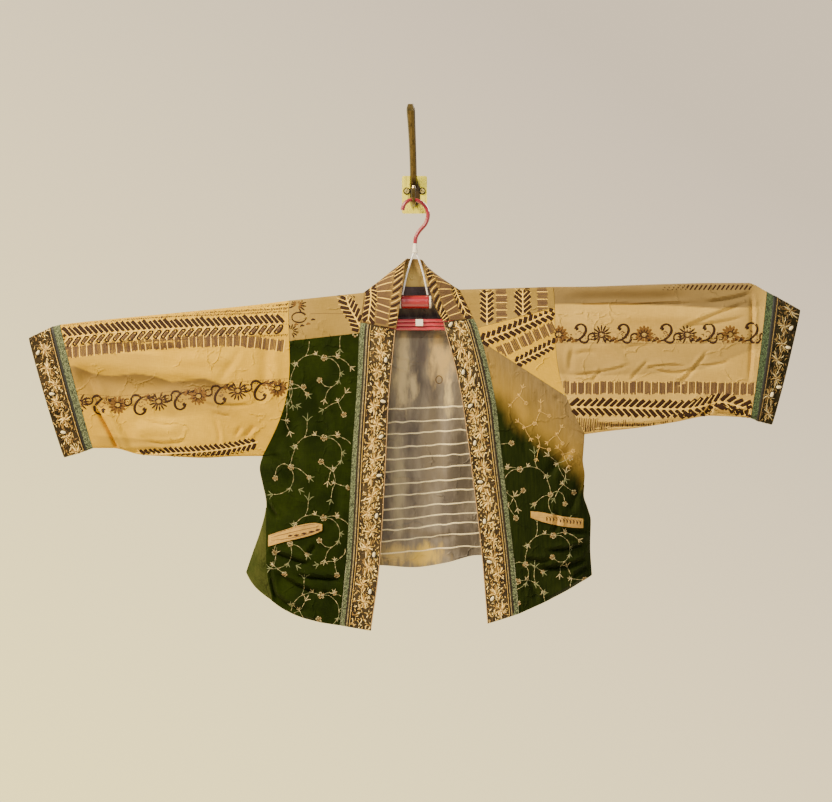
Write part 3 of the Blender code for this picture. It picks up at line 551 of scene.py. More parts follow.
def cloth(name, grid, cut, finish, wall=WALL, closed=False, lift=0.0):
    """A closed cloth shell round a grid of points. cut is where each point lies on the flat cut."""
    rows, columns = grid.shape[:2]
    out = normals(grid, closed)
    layers = [grid + out * (lift - wall / 2), grid + out * (lift + wall / 2)]
    verts = np.concatenate([layer.reshape(-1, 3) for layer in layers]) * MM
    count = rows * columns
    wraps = columns if closed else columns - 1
    faces, uvs = [], []

    def close(cells):
        """A face over four places of the two layers."""
        faces.append([layer * count + i * columns + j % columns for layer, i, j in cells])
        uvs.extend(tuple(cut[i][j]) for _, i, j in cells)

    for i in range(rows - 1):
        for j in range(wraps):
            close([(1, i, j), (1, i, j + 1), (1, i + 1, j + 1), (1, i + 1, j)])
            close([(0, i + 1, j), (0, i + 1, j + 1), (0, i, j + 1), (0, i, j)])
    last = rows - 1
    for j in range(wraps):
        close([(0, 0, j), (0, 0, j + 1), (1, 0, j + 1), (1, 0, j)])
        close([(1, last, j), (1, last, j + 1), (0, last, j + 1), (0, last, j)])
    if not closed:
        end = columns - 1
        for i in range(last):
            close([(0, i, 0), (1, i, 0), (1, i + 1, 0), (0, i + 1, 0)])
            close([(0, i + 1, end), (1, i + 1, end), (1, i, end), (0, i, end)])
    return piece(name, verts.tolist(), faces, [finish], uvs=uvs)


def flat_cut(grid, closed=False):
    """Where each point of a grid lies on the flat cut: the way to it over the cloth."""
    down = np.linalg.norm(np.diff(grid, axis=0), axis=2).mean(1)
    wide = np.concatenate([grid, grid[:, :1]], 1) if closed else grid
    over = np.linalg.norm(np.diff(wide, axis=1), axis=2).mean(0)
    v = np.concatenate([[0], np.cumsum(down)])
    u = np.concatenate([[0], np.cumsum(over)])
    return np.stack(np.meshgrid(u, v), axis=2), (u[-1], v[-1])


def mark_painted_tone(made, share):
    """Stores at each point of a cloth how strongly its colour turns to a painted tone: painted shade on
    the sleeves, painted light on the neck band.
    """
    layer = made.data.attributes.new("painted_tone", "FLOAT", "POINT")
    layer.data.foreach_set("value", share)


def paint_tone_zones(made, zones):
    """Marks painted shade on the front of a cloth: below a line of (x, z) points, or above it, strongest
    at the line and fading over a depth in millimetres."""
    points = np.array([vert.co for vert in made.data.vertices]) / MM
    share = np.zeros(len(points))
    middle = np.median(points[:, 1])
    for line, depth, strength in zones:
        xs, zs = zip(*sorted(line))
        gap = (np.interp(points[:, 0], xs, zs) - points[:, 2]) * (1 if depth > 0 else -1)
        ends = np.clip(np.minimum(points[:, 0] - xs[0], xs[-1] - points[:, 0]) / 40, 0, 1)
        inside = np.clip(gap / 2.0, 0, 1) * np.clip(1 - gap / abs(depth), 0, 1) ** 0.6
        share = np.maximum(share, inside * ends * strength * (points[:, 1] < middle))
    mark_painted_tone(made, share)


def seen_from(made, y_from):
    """Finds where the line through (x, z) along y first meets a cloth, from in front or behind."""
    verts = [vert.co / MM for vert in made.data.vertices]
    tree = BVHTree.FromPolygons(verts, [face.vertices[:] for face in made.data.polygons])
    ahead = Vector((0, 1 if y_from < 0 else -1, 0))

    def place_at(x, z):
        """The point there and the cloth's normal towards the viewer, or None beside the cloth."""
        point, normal, _, _ = tree.ray_cast(Vector((x, y_from, z)), ahead)
        if point is None:
            return None
        return point, normal if normal.dot(ahead) < 0 else -normal

    return place_at


FROM_FRONT, FROM_BACK = -300.0, 100.0
SUNK = 0.12  # how far a stroke's edges lie in the cloth
RAISED = 0.3  # lower strokes are printed flat, higher ones are rounded threads


def curved(points, steps=4):
    """A smooth line through a few points of the plane."""
    line = []
    for i in range(len(points) - 1):
        before = points[max(i - 1, 0)]
        after = points[min(i + 2, len(points) - 1)]
        a, b = points[i], points[i + 1]
        for k in range(steps):
            t = k / steps
            line.append(tuple(
                0.5 * (2 * a[n] + (b[n] - before[n]) * t
                       + (2 * before[n] - 5 * a[n] + 4 * b[n] - after[n]) * t**2
                       + (3 * a[n] - before[n] - 3 * b[n] + after[n]) * t**3)
                for n in (0, 1)))
    return line + [tuple(points[-1])]


def dense(line, step=3.6):
    """The line with points added, so that a stroke follows the cloth."""
    points = [line[0]]
    for a, b in zip(line, line[1:]):
        count = max(int(sqrt((b[0] - a[0]) ** 2 + (b[1] - a[1]) ** 2) / step), 1)
        points += [mixed(a, b, (k + 1) / count) for k in range(count)]
    return points


class Work:
    """Strokes that lie on a cloth and become one mesh, with the chance that makes them uneven."""

    def __init__(self, place_at, chance=None):
        self.place_at, self.chance = place_at, chance
        self.verts, self.faces, self.slots = [], [], []

    def stroke(self, line, widths, height, slot=0):
        """A flat or rounded ribbon along a line. Its edges lie just under the cloth's face."""
        line = dense(line)
        spots = [(i, self.place_at(*point)) for i, point in enumerate(line)]
        on_cloth = dropwhile(lambda spot: spot[1] is None, spots)
        spots = list(takewhile(lambda spot: spot[1] is not None, on_cloth))
        last = len(spots) - 1
        if last < 1:
            return
        start = len(self.verts)
        for k, (i, (point, normal)) in enumerate(spots):
            ahead = spots[min(k + 1, last)][1][0] - spots[max(k - 1, 0)][1][0]
            aside = ahead.cross(normal)
            if aside.length < 1e-6:
                aside = normal.orthogonal()
            at = i / (len(line) - 1) * (len(widths) - 1)
            n = min(int(at), len(widths) - 2)
            width = mix(widths[n], widths[n + 1], at - n)
            half = aside.normalized() * width / 2
            base = point - normal * SUNK
            crest = point + normal * (height * (0.4 + 0.6 * min(width / max(widths), 1)))
            flat = 0.86 if height < RAISED else 0.35
            self.verts += [(base + half) * MM, (crest + half * flat) * MM,
                           (crest - half * flat) * MM, (base - half) * MM]
        for i in range(last):
            a = start + 4 * i
            for j in range(4):
                k = (j + 1) % 4
                self.faces.append((a + j, a + k, a + 4 + k, a + 4 + j))
                self.slots.append(slot)
        end = start + 4 * last
        self.faces += [(start + 3, start + 2, start + 1, start), (end, end + 1, end + 2, end + 3)]
        self.slots += [slot, slot]

    def sew(self, name, finishes, slot):
        """Makes the strokes a piece with these finishes. The slot is not used."""
        made = piece(name, self.verts, self.faces, finishes, self.slots, smooth_angle=60)


PRINT = 0.16  # how proud a print stands: only enough to be seen
THREAD = 0.7
DARK, LIGHT, TICK, RUST = 0, 1, 2, 3


def walk(line, pitch, start=0.0):
    """Points every pitch along a line, each with the line's direction there."""
    steps, left = [], start
    for a, b in zip(line, line[1:]):
        length = sqrt((b[0] - a[0]) ** 2 + (b[1] - a[1]) ** 2)
        if length == 0:
            continue
        way = ((b[0] - a[0]) / length, (b[1] - a[1]) / length)
        while left < length:
            steps.append(((a[0] + way[0] * left, a[1] + way[1] * left), way))
            left += pitch
        left -= length
    return steps


def off(point, way, ahead, aside):
    """A point ahead of another and to its left."""
    return (point[0] + way[0] * ahead - way[1] * aside, point[1] + way[1] * ahead + way[0] * aside)


def leaf_band(work, line, half, pitch, lean, sides=(-1, 1), outlined=False):
    """Slanting printed leaves on each side of a light stem, with a light line after each leaf.
    Outlined ones are beans with a light middle."""
    chance = work.chance
    for point, way in walk(line, pitch, pitch / 2):
        for sign in sides:
            reach = half * chance.uniform(0.88, 1.04)
            bend = lean * chance.uniform(0.92, 1.1)
            root = off(point, way, 0.1 * pitch, sign * 0.12 * half)
            tip = off(point, way, bend * reach, sign * reach)
            if outlined:
                bean(work, root, tip, 0.62 * pitch)
            else:
                middle = off(mixed(root, tip, 0.5), way, 0.05 * pitch, 0)
                wide = pitch * chance.uniform(0.82, 0.98)
                work.stroke([root, middle, tip], (0.84 * wide, wide, 0.8 * wide), PRINT, DARK)
            root = off(point, way, pitch / 2, sign * 0.02 * half)
            tip = off(point, way, pitch / 2 + bend * reach * 1.08, sign * reach * 1.08)
            work.stroke([root, tip], (0.17 * pitch, 0.12 * pitch), PRINT * 1.8, LIGHT)
    stem = [point for point, _ in walk(line, pitch)]
    for a, b in zip(stem, stem[1:]):
        work.stroke([a, b], (2.0, 2.0), PRINT * 1.8, LIGHT)


def bean(work, root, tip, width):
    """A leaf printed as an outline."""
    way = Vector((tip[0] - root[0], tip[1] - root[1]))
    length = way.length
    way = tuple(way.normalized())
    middle = mixed(root, tip, 0.5)
    loop = [off(middle, way, 0.5 * length * cos(a), 0.5 * width * sin(a))
            for a in np.linspace(0, 2 * pi, 13)]
    work.stroke(loop, (3.0, 4.2, 3.2, 4.2, 3.0), PRINT, DARK)
    work.stroke([off(middle, way, -0.28 * length, 0), off(middle, way, 0.28 * length, 0)], (4.2, 4.2),
                PRINT * 1.2, TICK)


def tick_band(work, line, half, pitch, streaks=4):
    """Printed blocks of fine streaks with a light line between each two."""
    chance = work.chance
    for point, way in walk(line, pitch, pitch / 2):
        for k in range(streaks):
            ahead = (k / (streaks - 1) - 0.5) * 0.62 * pitch
            top = half * chance.uniform(0.72, 1.02)
            low = -half * chance.uniform(0.72, 1.02)
            width = 0.8 * pitch / streaks * chance.uniform(0.8, 1.2)
            streak = [off(point, way, ahead, aside) for aside in (low, 0, top)]
            work.stroke(streak, (width, width, width), PRINT, TICK)
        a, b = off(point, way, pitch / 2, -half), off(point, way, pitch / 2, half)
        work.stroke([a, mixed(a, b, 0.5), b], (1.3, 1.6, 1.3), PRINT, LIGHT)


def flower(work, at, turn, reach, petals, spread_over, slot, width):
    """Petals that fan out from a point of the plane."""
    for k in range(petals):
        angle = turn + spread_over * (k / (petals - 1) - 0.5)
        way = (cos(angle), sin(angle))
        line = [off(at, way, reach * share, 0) for share in (0.3, 0.7, 1.0)]
        work.stroke(line, (0.4 * width, width, 0.5 * width), PRINT, slot)


def scroll_border(work, line, pitch):
    """A running border: a hooked scroll, a curled bud, a fan-shaped flower and a chain of leaves."""
    chance = work.chance
    hook = curved([(-9, 8), (-7, 14), (0, 17), (7, 13), (8, 4), (2, -5), (-5, -10), (-13, -11)])
    tail = curved([(-4, -9), (2, -14), (9, -14), (14, -8)])
    curl = curved([(12, -9), (13, -2), (19, 1), (24, -3), (22, -9), (16, -9)])
    chain = [(-17, -9), (-13, -13), (44, -11), (48, -7), (52, -12), (56, -8)]
    for n, (start, way) in enumerate(walk(line, pitch, pitch * 0.2)):
        size = chance.uniform(0.94, 1.05)

        def lay(points, widths, slot):
            """A stroke of this repeat, from points ahead of its start and to their left."""
            work.stroke([off(start, way, a * size, b * size) for a, b in points], widths, PRINT, slot)

        lay(hook, (6.0, 4.4, 3.2, 4.0, 5.0, 4.4, 3.4, 2.2), DARK)
        lay([(-9, 8), (-6, 8.5), (-4.5, 11)], (5.0, 4.2, 2.0), DARK)
        lay(tail, (3.2, 4.6, 2.6), DARK)
        lay(curl, (2.6, 3.4, 2.8, 2.0), DARK)
        lay([(-6, 3), (-2, 5), (2, 2)], (1.4, 2.2, 1.2), TICK)
        for k, (a, b) in enumerate(chain):
            lay([(a - 3.5, b - 1.5), (a, b + 1.6), (a + 4.0, b + 0.4)], (2.2, 5.6, 2.2),
                (DARK, RUST)[k % 2])
        centre = off(start, way, 35 * size, -1 * size)
        turn = np.arctan2(way[1], way[0]) + pi / 2
        if n % 2:
            flower(work, centre, turn, 16, 13, pi * 1.7, DARK, 3.4)
            flower(work, centre, turn, 9, 9, pi * 1.6, TICK, 2.6)
        else:
            flower(work, centre, turn, 15, 13, pi * 1.8, RUST, 5.4)
            flower(work, centre, turn, 11, 9, pi * 1.6, DARK, 2.4)
        bowl = [off(centre, way, 5.5 * cos(a), 4.5 * sin(a)) for a in np.linspace(0.2, 2 * pi, 12)]
        work.stroke(bowl, (1.8, 2.8, 1.8), PRINT * 1.5, DARK)
        for k in range(int(pitch / 2.6)):
            a = -16 + 2.6 * k
            lay([(a, -15.5), (a + 1.3, -15.2)], (1.3, 1.1), TICK)
        for _ in range(46):
            a, b = chance.uniform(-14, 56), chance.uniform(-14, 3)
            lay([(a, b), (a + 1.8, b + 0.6)], (1.9, 1.4), chance.choice((TICK, TICK, RUST, DARK)))


def sprig(work, at, turn, size, slot):
    """Three little embroidered leaves at a stem's end."""
    way = (cos(turn), sin(turn))
    work.stroke([at, off(at, way, 0.6 * size, 0), off(at, way, size, 0)], (0.7, 1.8, 0.6), THREAD, slot)
    for sign in (-1, 1):
        work.stroke([at, off(at, way, 0.42 * size, sign * 0.3 * size),
                     off(at, way, 0.62 * size, sign * 0.62 * size)], (0.8, 1.5, 0.6), THREAD, slot)


def rose(work, at, reach, turn, slot):
    """A small embroidered rose: five rolled petals round a knot."""
    for k in range(5):
        angle = turn + 2 * pi * k / 5
        petal = [(at[0] + reach * cos(angle + bend) * share, at[1] + reach * sin(angle + bend) * share)
                 for bend, share in ((-0.5, 0.5), (-0.25, 1.0), (0.25, 1.0), (0.5, 0.5))]
        work.stroke(petal, (1.0, 1.5, 1.5, 1.0), THREAD, slot if k % 2 else 0)
    knot = [(at[0] + 0.3 * reach * cos(a), at[1] + 0.3 * reach * sin(a)) for a in (0, 1.6, 3.2, 4.8)]
    work.stroke(knot, (1.3, 1.1, 1.0, 0.8), THREAD + 0.3, slot)


# A vine motif: its stems, its sprigs, its roses. Places are from its top rose.
STEMS = [
    [(0, 0), (15, -2), (28, -16), (29, -36), (18, -50), (5, -50), (-3, -43)],
    [(16, -51), (9, -60), (6, -72)],
    [(0, 0), (-16, 5), (-35, 1), (-48, -10)],
    [(-33, 2), (-29, 14), (-28, 28)],
    [(-52, -20), (-57, -34), (-58, -48), (-54, -64), (-60, -82), (-76, -92), (-90, -94)],
    [(-58, -48), (-43, -52), (-29, -64)],
    [(-58, -48), (-70, -42), (-82, -48), (-86, -62)],
    [(0, 0), (18, 4), (38, -4), (46, -12)],
]
SPRIGS = [(-28, 29, 85, 15), (47, -13, -40, 11), (5, -73, -100, 11), (-28, -65, -45, 12),
          (-48, -10, -120, 10), (29, -26, -10, 9), (-60, -82, 250, 9), (-91, -94, 185, 12),
          (-46, -86, -25, 11), (-52, -19, 95, 12), (22, 4, 60, 8), (-14, 5, 120, 8), (29, -38, -110, 9)]
ROSES = [(0, 0, 5.4), (-58, -48, 5.0), (-6, -40, 4.6), (-86, -66, 4.4), (24, 3, 3.2), (-27, -66, 3.4)]
TWIG = [[(-24, -6), (-8, 0), (6, 2), (20, 14)], [(4, 1), (6, -10), (10, -22)]]
TWIG_SPRIGS = [(-26, -7, 195, 12), (21, 15, 40, 13), (4, 2, 100, 8)]


def vine(work, at, turn, size, flip=1, whole=True):
    """One embroidered vine, or a small twig of it, turned and set at a point."""
    way = (cos(radians(turn)), sin(radians(turn)))

    def moved(x, z):
        """A place of the motif, once it is turned and set."""
        return off(at, way, x * size * flip, z * size)

    for stem in STEMS if whole else TWIG:
        line = dense([moved(*point) for point in curved(stem, 5)], 3.0)
        for k in range(0, len(line) - 1, 2):
            work.stroke(line[k:k + 3], (0.7, 1.15, 0.6), THREAD, (k // 2) % 2)
    for x, z, angle, reach in SPRIGS if whole else TWIG_SPRIGS:
        if flip < 0:
            angle = 180 - angle
        sprig(work, moved(x, z), radians(angle + turn), reach * size, 1 if angle % 4 else 0)
    for x, z, reach in ROSES if whole else [(10, -25, 5.0)]:
        rose(work, moved(x, z), reach * size, turn, 2)


def brocade(work, width, length, tones, share):
    """Dense sprays and filling leaves. Places are (across, along) in millimetres."""
    chance = work.chance

    def petal(a, b, angle, reach, wide, slot, height):
        """One leaf-shaped stitch that springs from a point at an angle."""
        way = (cos(angle), sin(angle))
        line = [(a, b), off((a, b), way, reach * 0.5, 0.1 * reach), off((a, b), way, reach, 0)]
        work.stroke(line, (0.5 * wide, wide, 0.3 * wide), height, slot)

    rows, across = int(length / 3.7), int(width / 3.9)
    for i in range(rows):
        for k in range(across):
            a = 2.0 + (width - 4.0) * (k + chance.uniform(0.1, 0.9)) / across
            b = length * (i + chance.uniform(0.1, 0.9)) / rows
            if chance.random() < share:
                petal(a, b, pi / 2 + chance.gauss(0, 0.9), chance.uniform(3.4, 6.4),
                      chance.uniform(1.5, 2.4), chance.choice(tones), 0.5)
    step = 29.0
    for n in range(int(length / step)):
        b = (n + 0.5) * step + chance.uniform(-2, 2)
        a = width * (0.42 if n % 2 else 0.58) + chance.uniform(-2, 2)
        turn = chance.uniform(0, pi)
        count = 11 + n % 3
        for k in range(count):
            petal(a, b, turn + 2 * pi * k / count, chance.uniform(8, 13.5), chance.uniform(2.0, 3.0),
                  (1, 0, 3, 0, 2)[k % 5], 1.3)
        for k in range(5):
            petal(a, b, turn + 2 * pi * k / 5, 3.4, 2.0, (2, 1)[k % 2], 1.7)
        for side_way in (-1, 1):
            lean = side_way * pi / 2 + chance.uniform(-0.3, 0.3)
            at = width * (0.5 + side_way * 0.06), b + side_way * 5
            for k in range(-2, 3):
                petal(at[0] + 2.2 * k, at[1], lean + 0.22 * k, chance.uniform(8, 13) - abs(k),
                      chance.uniform(1.5, 2.3), (0, 1, 3, 2)[(k + n) % 4], 0.9)


def cords(work, line_at, length):
    """Two dark cords with a worn gold one between them, sewn where the trim meets the piping."""
    for across, wide, slot in ((0.7, 2.0, 5), (2.3, 1.3, 0), (3.9, 2.0, 5)):
        work.stroke([(line_at(across), b) for b in np.arange(1, length - 1, 5)], (wide, wide), 0.7, slot)


def linear(code):
    """An sRGB hex colour as linear values."""
    shares = [int(code[k:k + 2], 16) / 255 for k in (1, 3, 5)]
    return [s / 12.92 if s <= 0.04045 else ((s + 0.055) / 1.055) ** 2.4 for s in shares] + [1.0]


def add(tree, kind, *values, **settings):
    """Adds a node and gives its first output. The values fill its inputs in order: an output to
    link, a plain value, or None for one that is left alone."""
    made = tree.nodes.new("ShaderNode" + kind)
    for name, value in settings.items():
        setattr(made, name, value)
    for socket, value in zip(made.inputs, values):
        if isinstance(value, bpy.types.NodeSocket):
            tree.links.new(value, socket)
        elif value is not None:
            socket.default_value = value
    return made.outputs[0]


def finish(name, roughness, metallic=0.0, sheen=0.0, coat=0.0, specular=0.5, tint=None):
    """A new material with its constant values set, as (material, tree, shader)."""
    made = bpy.data.materials.new(name)
    made.use_nodes = True
    tree = made.node_tree
    shader = tree.nodes["Principled BSDF"]
    settings = {"Roughness": roughness, "Metallic": metallic, "Sheen Weight": sheen,
                "Sheen Roughness": 0.4, "Coat Weight": coat, "Specular IOR Level": specular}
    if tint:
        settings.update({"Sheen Tint": linear(tint), "Specular Tint": linear(tint)})
    for socket, value in settings.items():
        shader.inputs[socket].default_value = value
    return made, tree, shader


def ramp(tree, value, first, last, low=0.0, high=1.0, kind="LINEAR"):
    """A value stretched from one range to another, and held inside it."""
    return add(tree, "MapRange", value, first, last, low, high, interpolation_type=kind)


def noise(tree, place, scale, detail, roughness=0.5):
    """Cloudy noise between 0 and 1."""
    return add(tree, "TexNoise", place, None, scale, detail, roughness)


def stretched(tree, place, scale):
    """A place with each of its axes scaled."""
    return add(tree, "Mapping", place, None, None, scale)


def times(tree, a, b):
    """The product of two values."""
    return add(tree, "Math", a, b, operation="MULTIPLY")


def plus(tree, a, b):
    """The sum of two values."""
    return add(tree, "Math", a, b, operation="ADD")


def in_mm(tree):
    """The place on the object, in millimetres."""
    place = add(tree, "TexCoord").node.outputs["Object"]
    return stretched(tree, place, (1000, 1000, 1000))


def coloured(tree, shader, colour):
    """Gives the shader its colour."""
    tree.links.new(colour, shader.inputs["Base Color"])


def tinted(tree, colour, factor):
    """A colour made lighter or darker by a factor."""
    return add(tree, "MixRGB", 1.0, colour, factor, blend_type="MULTIPLY")


def bumped(tree, shader, strength, depth, height):
    """Gives the shader a bump, with its depth in millimetres."""
    tree.links.new(add(tree, "Bump", strength, depth * MM, None, height), shader.inputs["Normal"])


def two_tone(tree, factor, low, high, at=(0.35, 0.65)):
    """A colour between two, by a factor that is stretched between two values."""
    return add(tree, "MixRGB", ramp(tree, factor, *at), linear(low), linear(high))


def woven(tree, shader, thread, depth):
    """Bump of a plain weave whose threads run along the cloth's cut, with soft crumples and the
    sharp little lines that silk keeps where it was folded."""
    cut = add(tree, "UVMap", uv_map="cut")
    warp = stretched(tree, cut, (1 / thread, 0.09 / thread, 1))
    weft = stretched(tree, cut, (0.09 / thread, 1 / thread, 1))
    warp_noise = noise(tree, warp, 1.0, 1.0)
    weft_noise = noise(tree, weft, 1.0, 1.0)
    both = plus(tree, warp_noise, weft_noise)
    place = in_mm(tree)
    crumple = noise(tree, place, 0.03, 4.0, 0.5)
    soft = add(tree, "Bump", 0.6, 3.0 * MM, None, crumple)
    bend = noise(tree, place, 0.035, 3.0).node.outputs["Color"]
    bent = add(tree, "VectorMath", bend, (40, 40, 40), place, operation="MULTIPLY_ADD")
    edges = add(tree, "TexVoronoi", bent, None, 0.017, feature="DISTANCE_TO_EDGE")
    sharp = ramp(tree, edges, 0.0, 0.045, 1.0, 0.0)
    kept = ramp(tree, crumple, 0.47, 0.58)
    pressed = times(tree, sharp, kept)
    lined = add(tree, "Bump", 0.9, 1.3 * MM, None, pressed, soft)
    bump = add(tree, "Bump", 0.6, depth * MM, None, both, lined)
    tree.links.new(bump, shader.inputs["Normal"])
    return both


def print_silk(name, low, high, behind):
    """Washed tussah silk, hand block printed: a warm, slightly uneven tan with slubbed threads and a
    low, broad sheen. Where the mesh marks it, the colour turns to the last one given: painted shade on
    the sleeves, painted light on the neck band's inner face."""
    made, tree, shader = finish(name, 0.6, sheen=0.05, specular=0.2, tint="#F0BE50")
    threads = woven(tree, shader, 1.3, 0.2)  # drawn coarser than the real 0.3 mm, to show
    patches = noise(tree, in_mm(tree), 0.008, 3.0, 0.55)
    ground = two_tone(tree, patches, low, high)
    slubs = ramp(tree, threads, 0.8, 1.25, 0.93, 1.05)
    # Painted shade on the sleeves and painted light on the neck band's inner face, where the mesh marks
    # them.
    painted_tone = add(tree, "Attribute", attribute_name="painted_tone").node.outputs["Fac"]
    coloured(tree, shader, add(tree, "MixRGB", painted_tone, tinted(tree, ground, slubs), linear(behind)))
    return made


def crepe(name, low, high, roughness=0.8, thread=1.2):
    """Silk crepe: matt, deep in colour and faintly pebbled by its twisted threads."""
    made, tree, shader = finish(name, roughness, sheen=0.03, specular=0.12, tint="#D8C890")
    threads = woven(tree, shader, thread, 0.3)
    patches = noise(tree, in_mm(tree), 0.02, 3.0, 0.6)
    ground = two_tone(tree, patches, low, high)
    grain = ramp(tree, threads, 0.8, 1.25, 0.8, 1.15)
    coloured(tree, shader, tinted(tree, ground, grain))
    return made


def ombre_crepe():
    """Crepe dip-dyed from mustard gold to deep moss green: the dye has crept unevenly along the
    threads, and the gold part has fine upright crinkles."""
    made, tree, shader = finish("dip-dyed gold and green crepe", 0.75, sheen=0.03, specular=0.12)
    shader.inputs["Specular Tint"].default_value = linear("#D8C890")
    place = in_mm(tree)
    parts = add(tree, "SeparateXYZ", place).node
    drawn = stretched(tree, place, (0.03, 0.03, 0.012))
    creep = noise(tree, drawn, 1.0, 4.0, 0.6)
    over = times(tree, parts.outputs["X"], 0.667)
    up = times(tree, parts.outputs["Z"], 0.745)
    level = plus(tree, over, up)
    level = add(tree, "Math", creep, 46.0, level, operation="MULTIPLY_ADD")
    gold_share = ramp(tree, level, -168.0, -116.0, 0.0, 1.0, "SMOOTHSTEP")
    strong = ramp(tree, level, -128.0, -62.0, 0.85, 0.0)
    crinkled = add(tree, "Mapping", place, None, (0, 0.5, 0), (0.3, 0.1, 0.03))
    streaks = noise(tree, crinkled, 1.0, 4.0, 0.65)
    # The gold's two tones are darker than its dye, as painted shade over the gold part.
    gold = two_tone(tree, streaks, "#67563A", "#7F6B48", (0.36, 0.6))
    gold = add(tree, "MixRGB", strong, gold, linear("#99792F"))
    green = two_tone(tree, streaks, "#0F1904", "#1C2407")
    coloured(tree, shader, add(tree, "MixRGB", gold_share, green, gold))
    woven(tree, shader, 1.2, 0.3)
    return made


def inner_silk():
    """Thin tie-dyed silk inside the back: grey-taupe, with ochre and cream clouds where the dye was
    bound off, near the neck and at the hem, and a dark mauve band of painted shadow under the hanger's
    bars."""
    made, tree, shader = finish("tie-dyed taupe silk", 0.65, sheen=0.05, specular=0.25)
    place = in_mm(tree)
    long_way = stretched(tree, place, (0.04, 0.02, 0.012))
    streaks = noise(tree, long_way, 1.0, 4.0, 0.6)
    ragged_way = stretched(tree, place, (0.09, 0.03, 0.028))
    torn = noise(tree, ragged_way, 1.0, 5.0, 0.62)
    ground = two_tone(tree, streaks, "#5F564C", "#8D816C")
    for at, reach, code in CLOUDS:
        here = add(tree, "VectorMath", place, (-at[0], 0, -at[1]), operation="ADD")
        here = add(tree, "VectorMath", here, (1 / reach[0], 0, 1 / reach[1]), operation="MULTIPLY")
        far = add(tree, "VectorMath", here, operation="LENGTH").node.outputs["Value"]
        ragged = add(tree, "Math", torn, 3.4, far, operation="MULTIPLY_ADD")
        share = ramp(tree, ragged, 2.0, 3.5, 1.0, 0.0, "SMOOTHSTEP")
        ground = add(tree, "MixRGB", share, ground, linear(code))
    coloured(tree, shader, ground)
    woven(tree, shader, 1.4, 0.3)
    return made


def braid_finish(name, light, dark):
    """Narrow cotton braid: green loops flecked with black thread."""
    made, tree, shader = finish(name, 0.8, sheen=0.1, specular=0.2)
    place = in_mm(tree)
    loops = add(tree, "TexVoronoi", place, None, 0.55)
    flecks = noise(tree, place, 0.42, 3.0, 0.7)
    green = two_tone(tree, loops, light, dark, (0.2, 0.7))
    share = ramp(tree, flecks, 0.49, 0.6)
    coloured(tree, shader, add(tree, "MixRGB", share, green, linear("#262A1A")))
    bumped(tree, shader, 0.9, 0.7, loops)
    return made


def piping_finish():
    """Twisted black cord with a worn gold thread along its middle."""
    made, tree, shader = finish("black and gold piping", 0.55, specular=0.4)
    across = add(tree, "SeparateXYZ", add(tree, "UVMap", uv_map="cut"))
    worn = noise(tree, in_mm(tree), 0.3, 3.0, 0.6)
    middle = add(tree, "Math", across, 1.8, operation="SUBTRACT")
    near = add(tree, "Math", middle, operation="ABSOLUTE")
    share = ramp(tree, near, 0.35, 0.75, 1.0, 0.0)
    rubbed = ramp(tree, worn, 0.4, 0.55, 0.35, 1.0)
    share = times(tree, share, rubbed)
    coloured(tree, shader, add(tree, "MixRGB", share, linear("#1D1D14"), linear("#A88F52")))
    bumped(tree, shader, 0.6, 0.5, worn)
    return made


def flat_thread(name, code, roughness=0.6, sheen=0.05, grain=0.12, metallic=0.0):
    """Printed colour or stitched thread: one colour, a little uneven, with a fine fibrous bump."""
    made, tree, shader = finish(name, roughness, metallic, sheen, specular=0.12)
    fibres = noise(tree, in_mm(tree), 0.6, 3.0, 0.6)
    tint = ramp(tree, fibres, 0.35, 0.65, 1 - grain, 1 + grain)
    coloured(tree, shader, tinted(tree, linear(code), tint))
    bumped(tree, shader, 0.35, 0.3, fibres)
    return made


def aged_brass(name, bright, dull, roughness, metallic=1.0, worn=0.0):
    """Cast brass under old lacquer: bright and faintly drawn along its length where it is rubbed, and
    brown round the prongs' root. Where its surface turns left or right it is darkened, as painted shade
    that rounds it."""
    made, tree, shader = finish(name, roughness, metallic)
    place = in_mm(tree)
    drawn = stretched(tree, place, (0.3, 0.3, 0.012))
    stains = noise(tree, drawn, 1.0, 1.0, 0.4)
    squeezed = add(tree, "VectorMath", place, (1.0, 0.3, 0.42), operation="MULTIPLY")
    root = add(tree, "VectorMath", squeezed, (0.5, -2, 0), operation="DISTANCE").node.outputs["Value"]
    dark_near = ramp(tree, root, 5.5, 12.5, 0.75, worn)
    share = plus(tree, stains, dark_near)
    # Painted shade: darker where the surface turns left or right, to round the prongs.
    turned = add(tree, "SeparateXYZ", add(tree, "TexCoord").node.outputs["Normal"])
    aside = add(tree, "Math", turned, operation="ABSOLUTE")
    painted_side_shade = ramp(tree, aside, 0.35, 0.85, 0.0, 0.55)
    share = plus(tree, share, painted_side_shade)
    coloured(tree, shader, two_tone(tree, share, bright, dull, (0.55, 0.95)))
    tree.links.new(ramp(tree, stains, 0.3, 0.7, roughness - 0.04, roughness + 0.08),
                   shader.inputs["Roughness"])
    bumped(tree, shader, 0.02, 0.1, stains)
    return made


def coated(name, code, roughness, coat, sharpness=0.2):
    """Dipped plastic coating or moulding: glossy and smooth, with the faintest orange peel."""
    made, tree, shader = finish(name, roughness, coat=coat)
    shader.inputs["Coat Roughness"].default_value = sharpness
    peel = noise(tree, in_mm(tree), 0.25, 2.0)
    tint = ramp(tree, peel, 0.3, 0.7, 0.93, 1.05)
    coloured(tree, shader, tinted(tree, linear(code), tint))
    bumped(tree, shader, 0.15, 0.15, peel)
    return made


def facing(grid, way=None):
    """The grid with its columns the way round that makes its normals point along a direction, or,
    on a tube, away from its middle."""
    closed = way is None
    away = grid - grid.mean(axis=1, keepdims=True) if closed else np.array(way, float)
    if (normals(grid, closed) * away).sum() < 0:
        return grid[:, ::-1]
    return grid


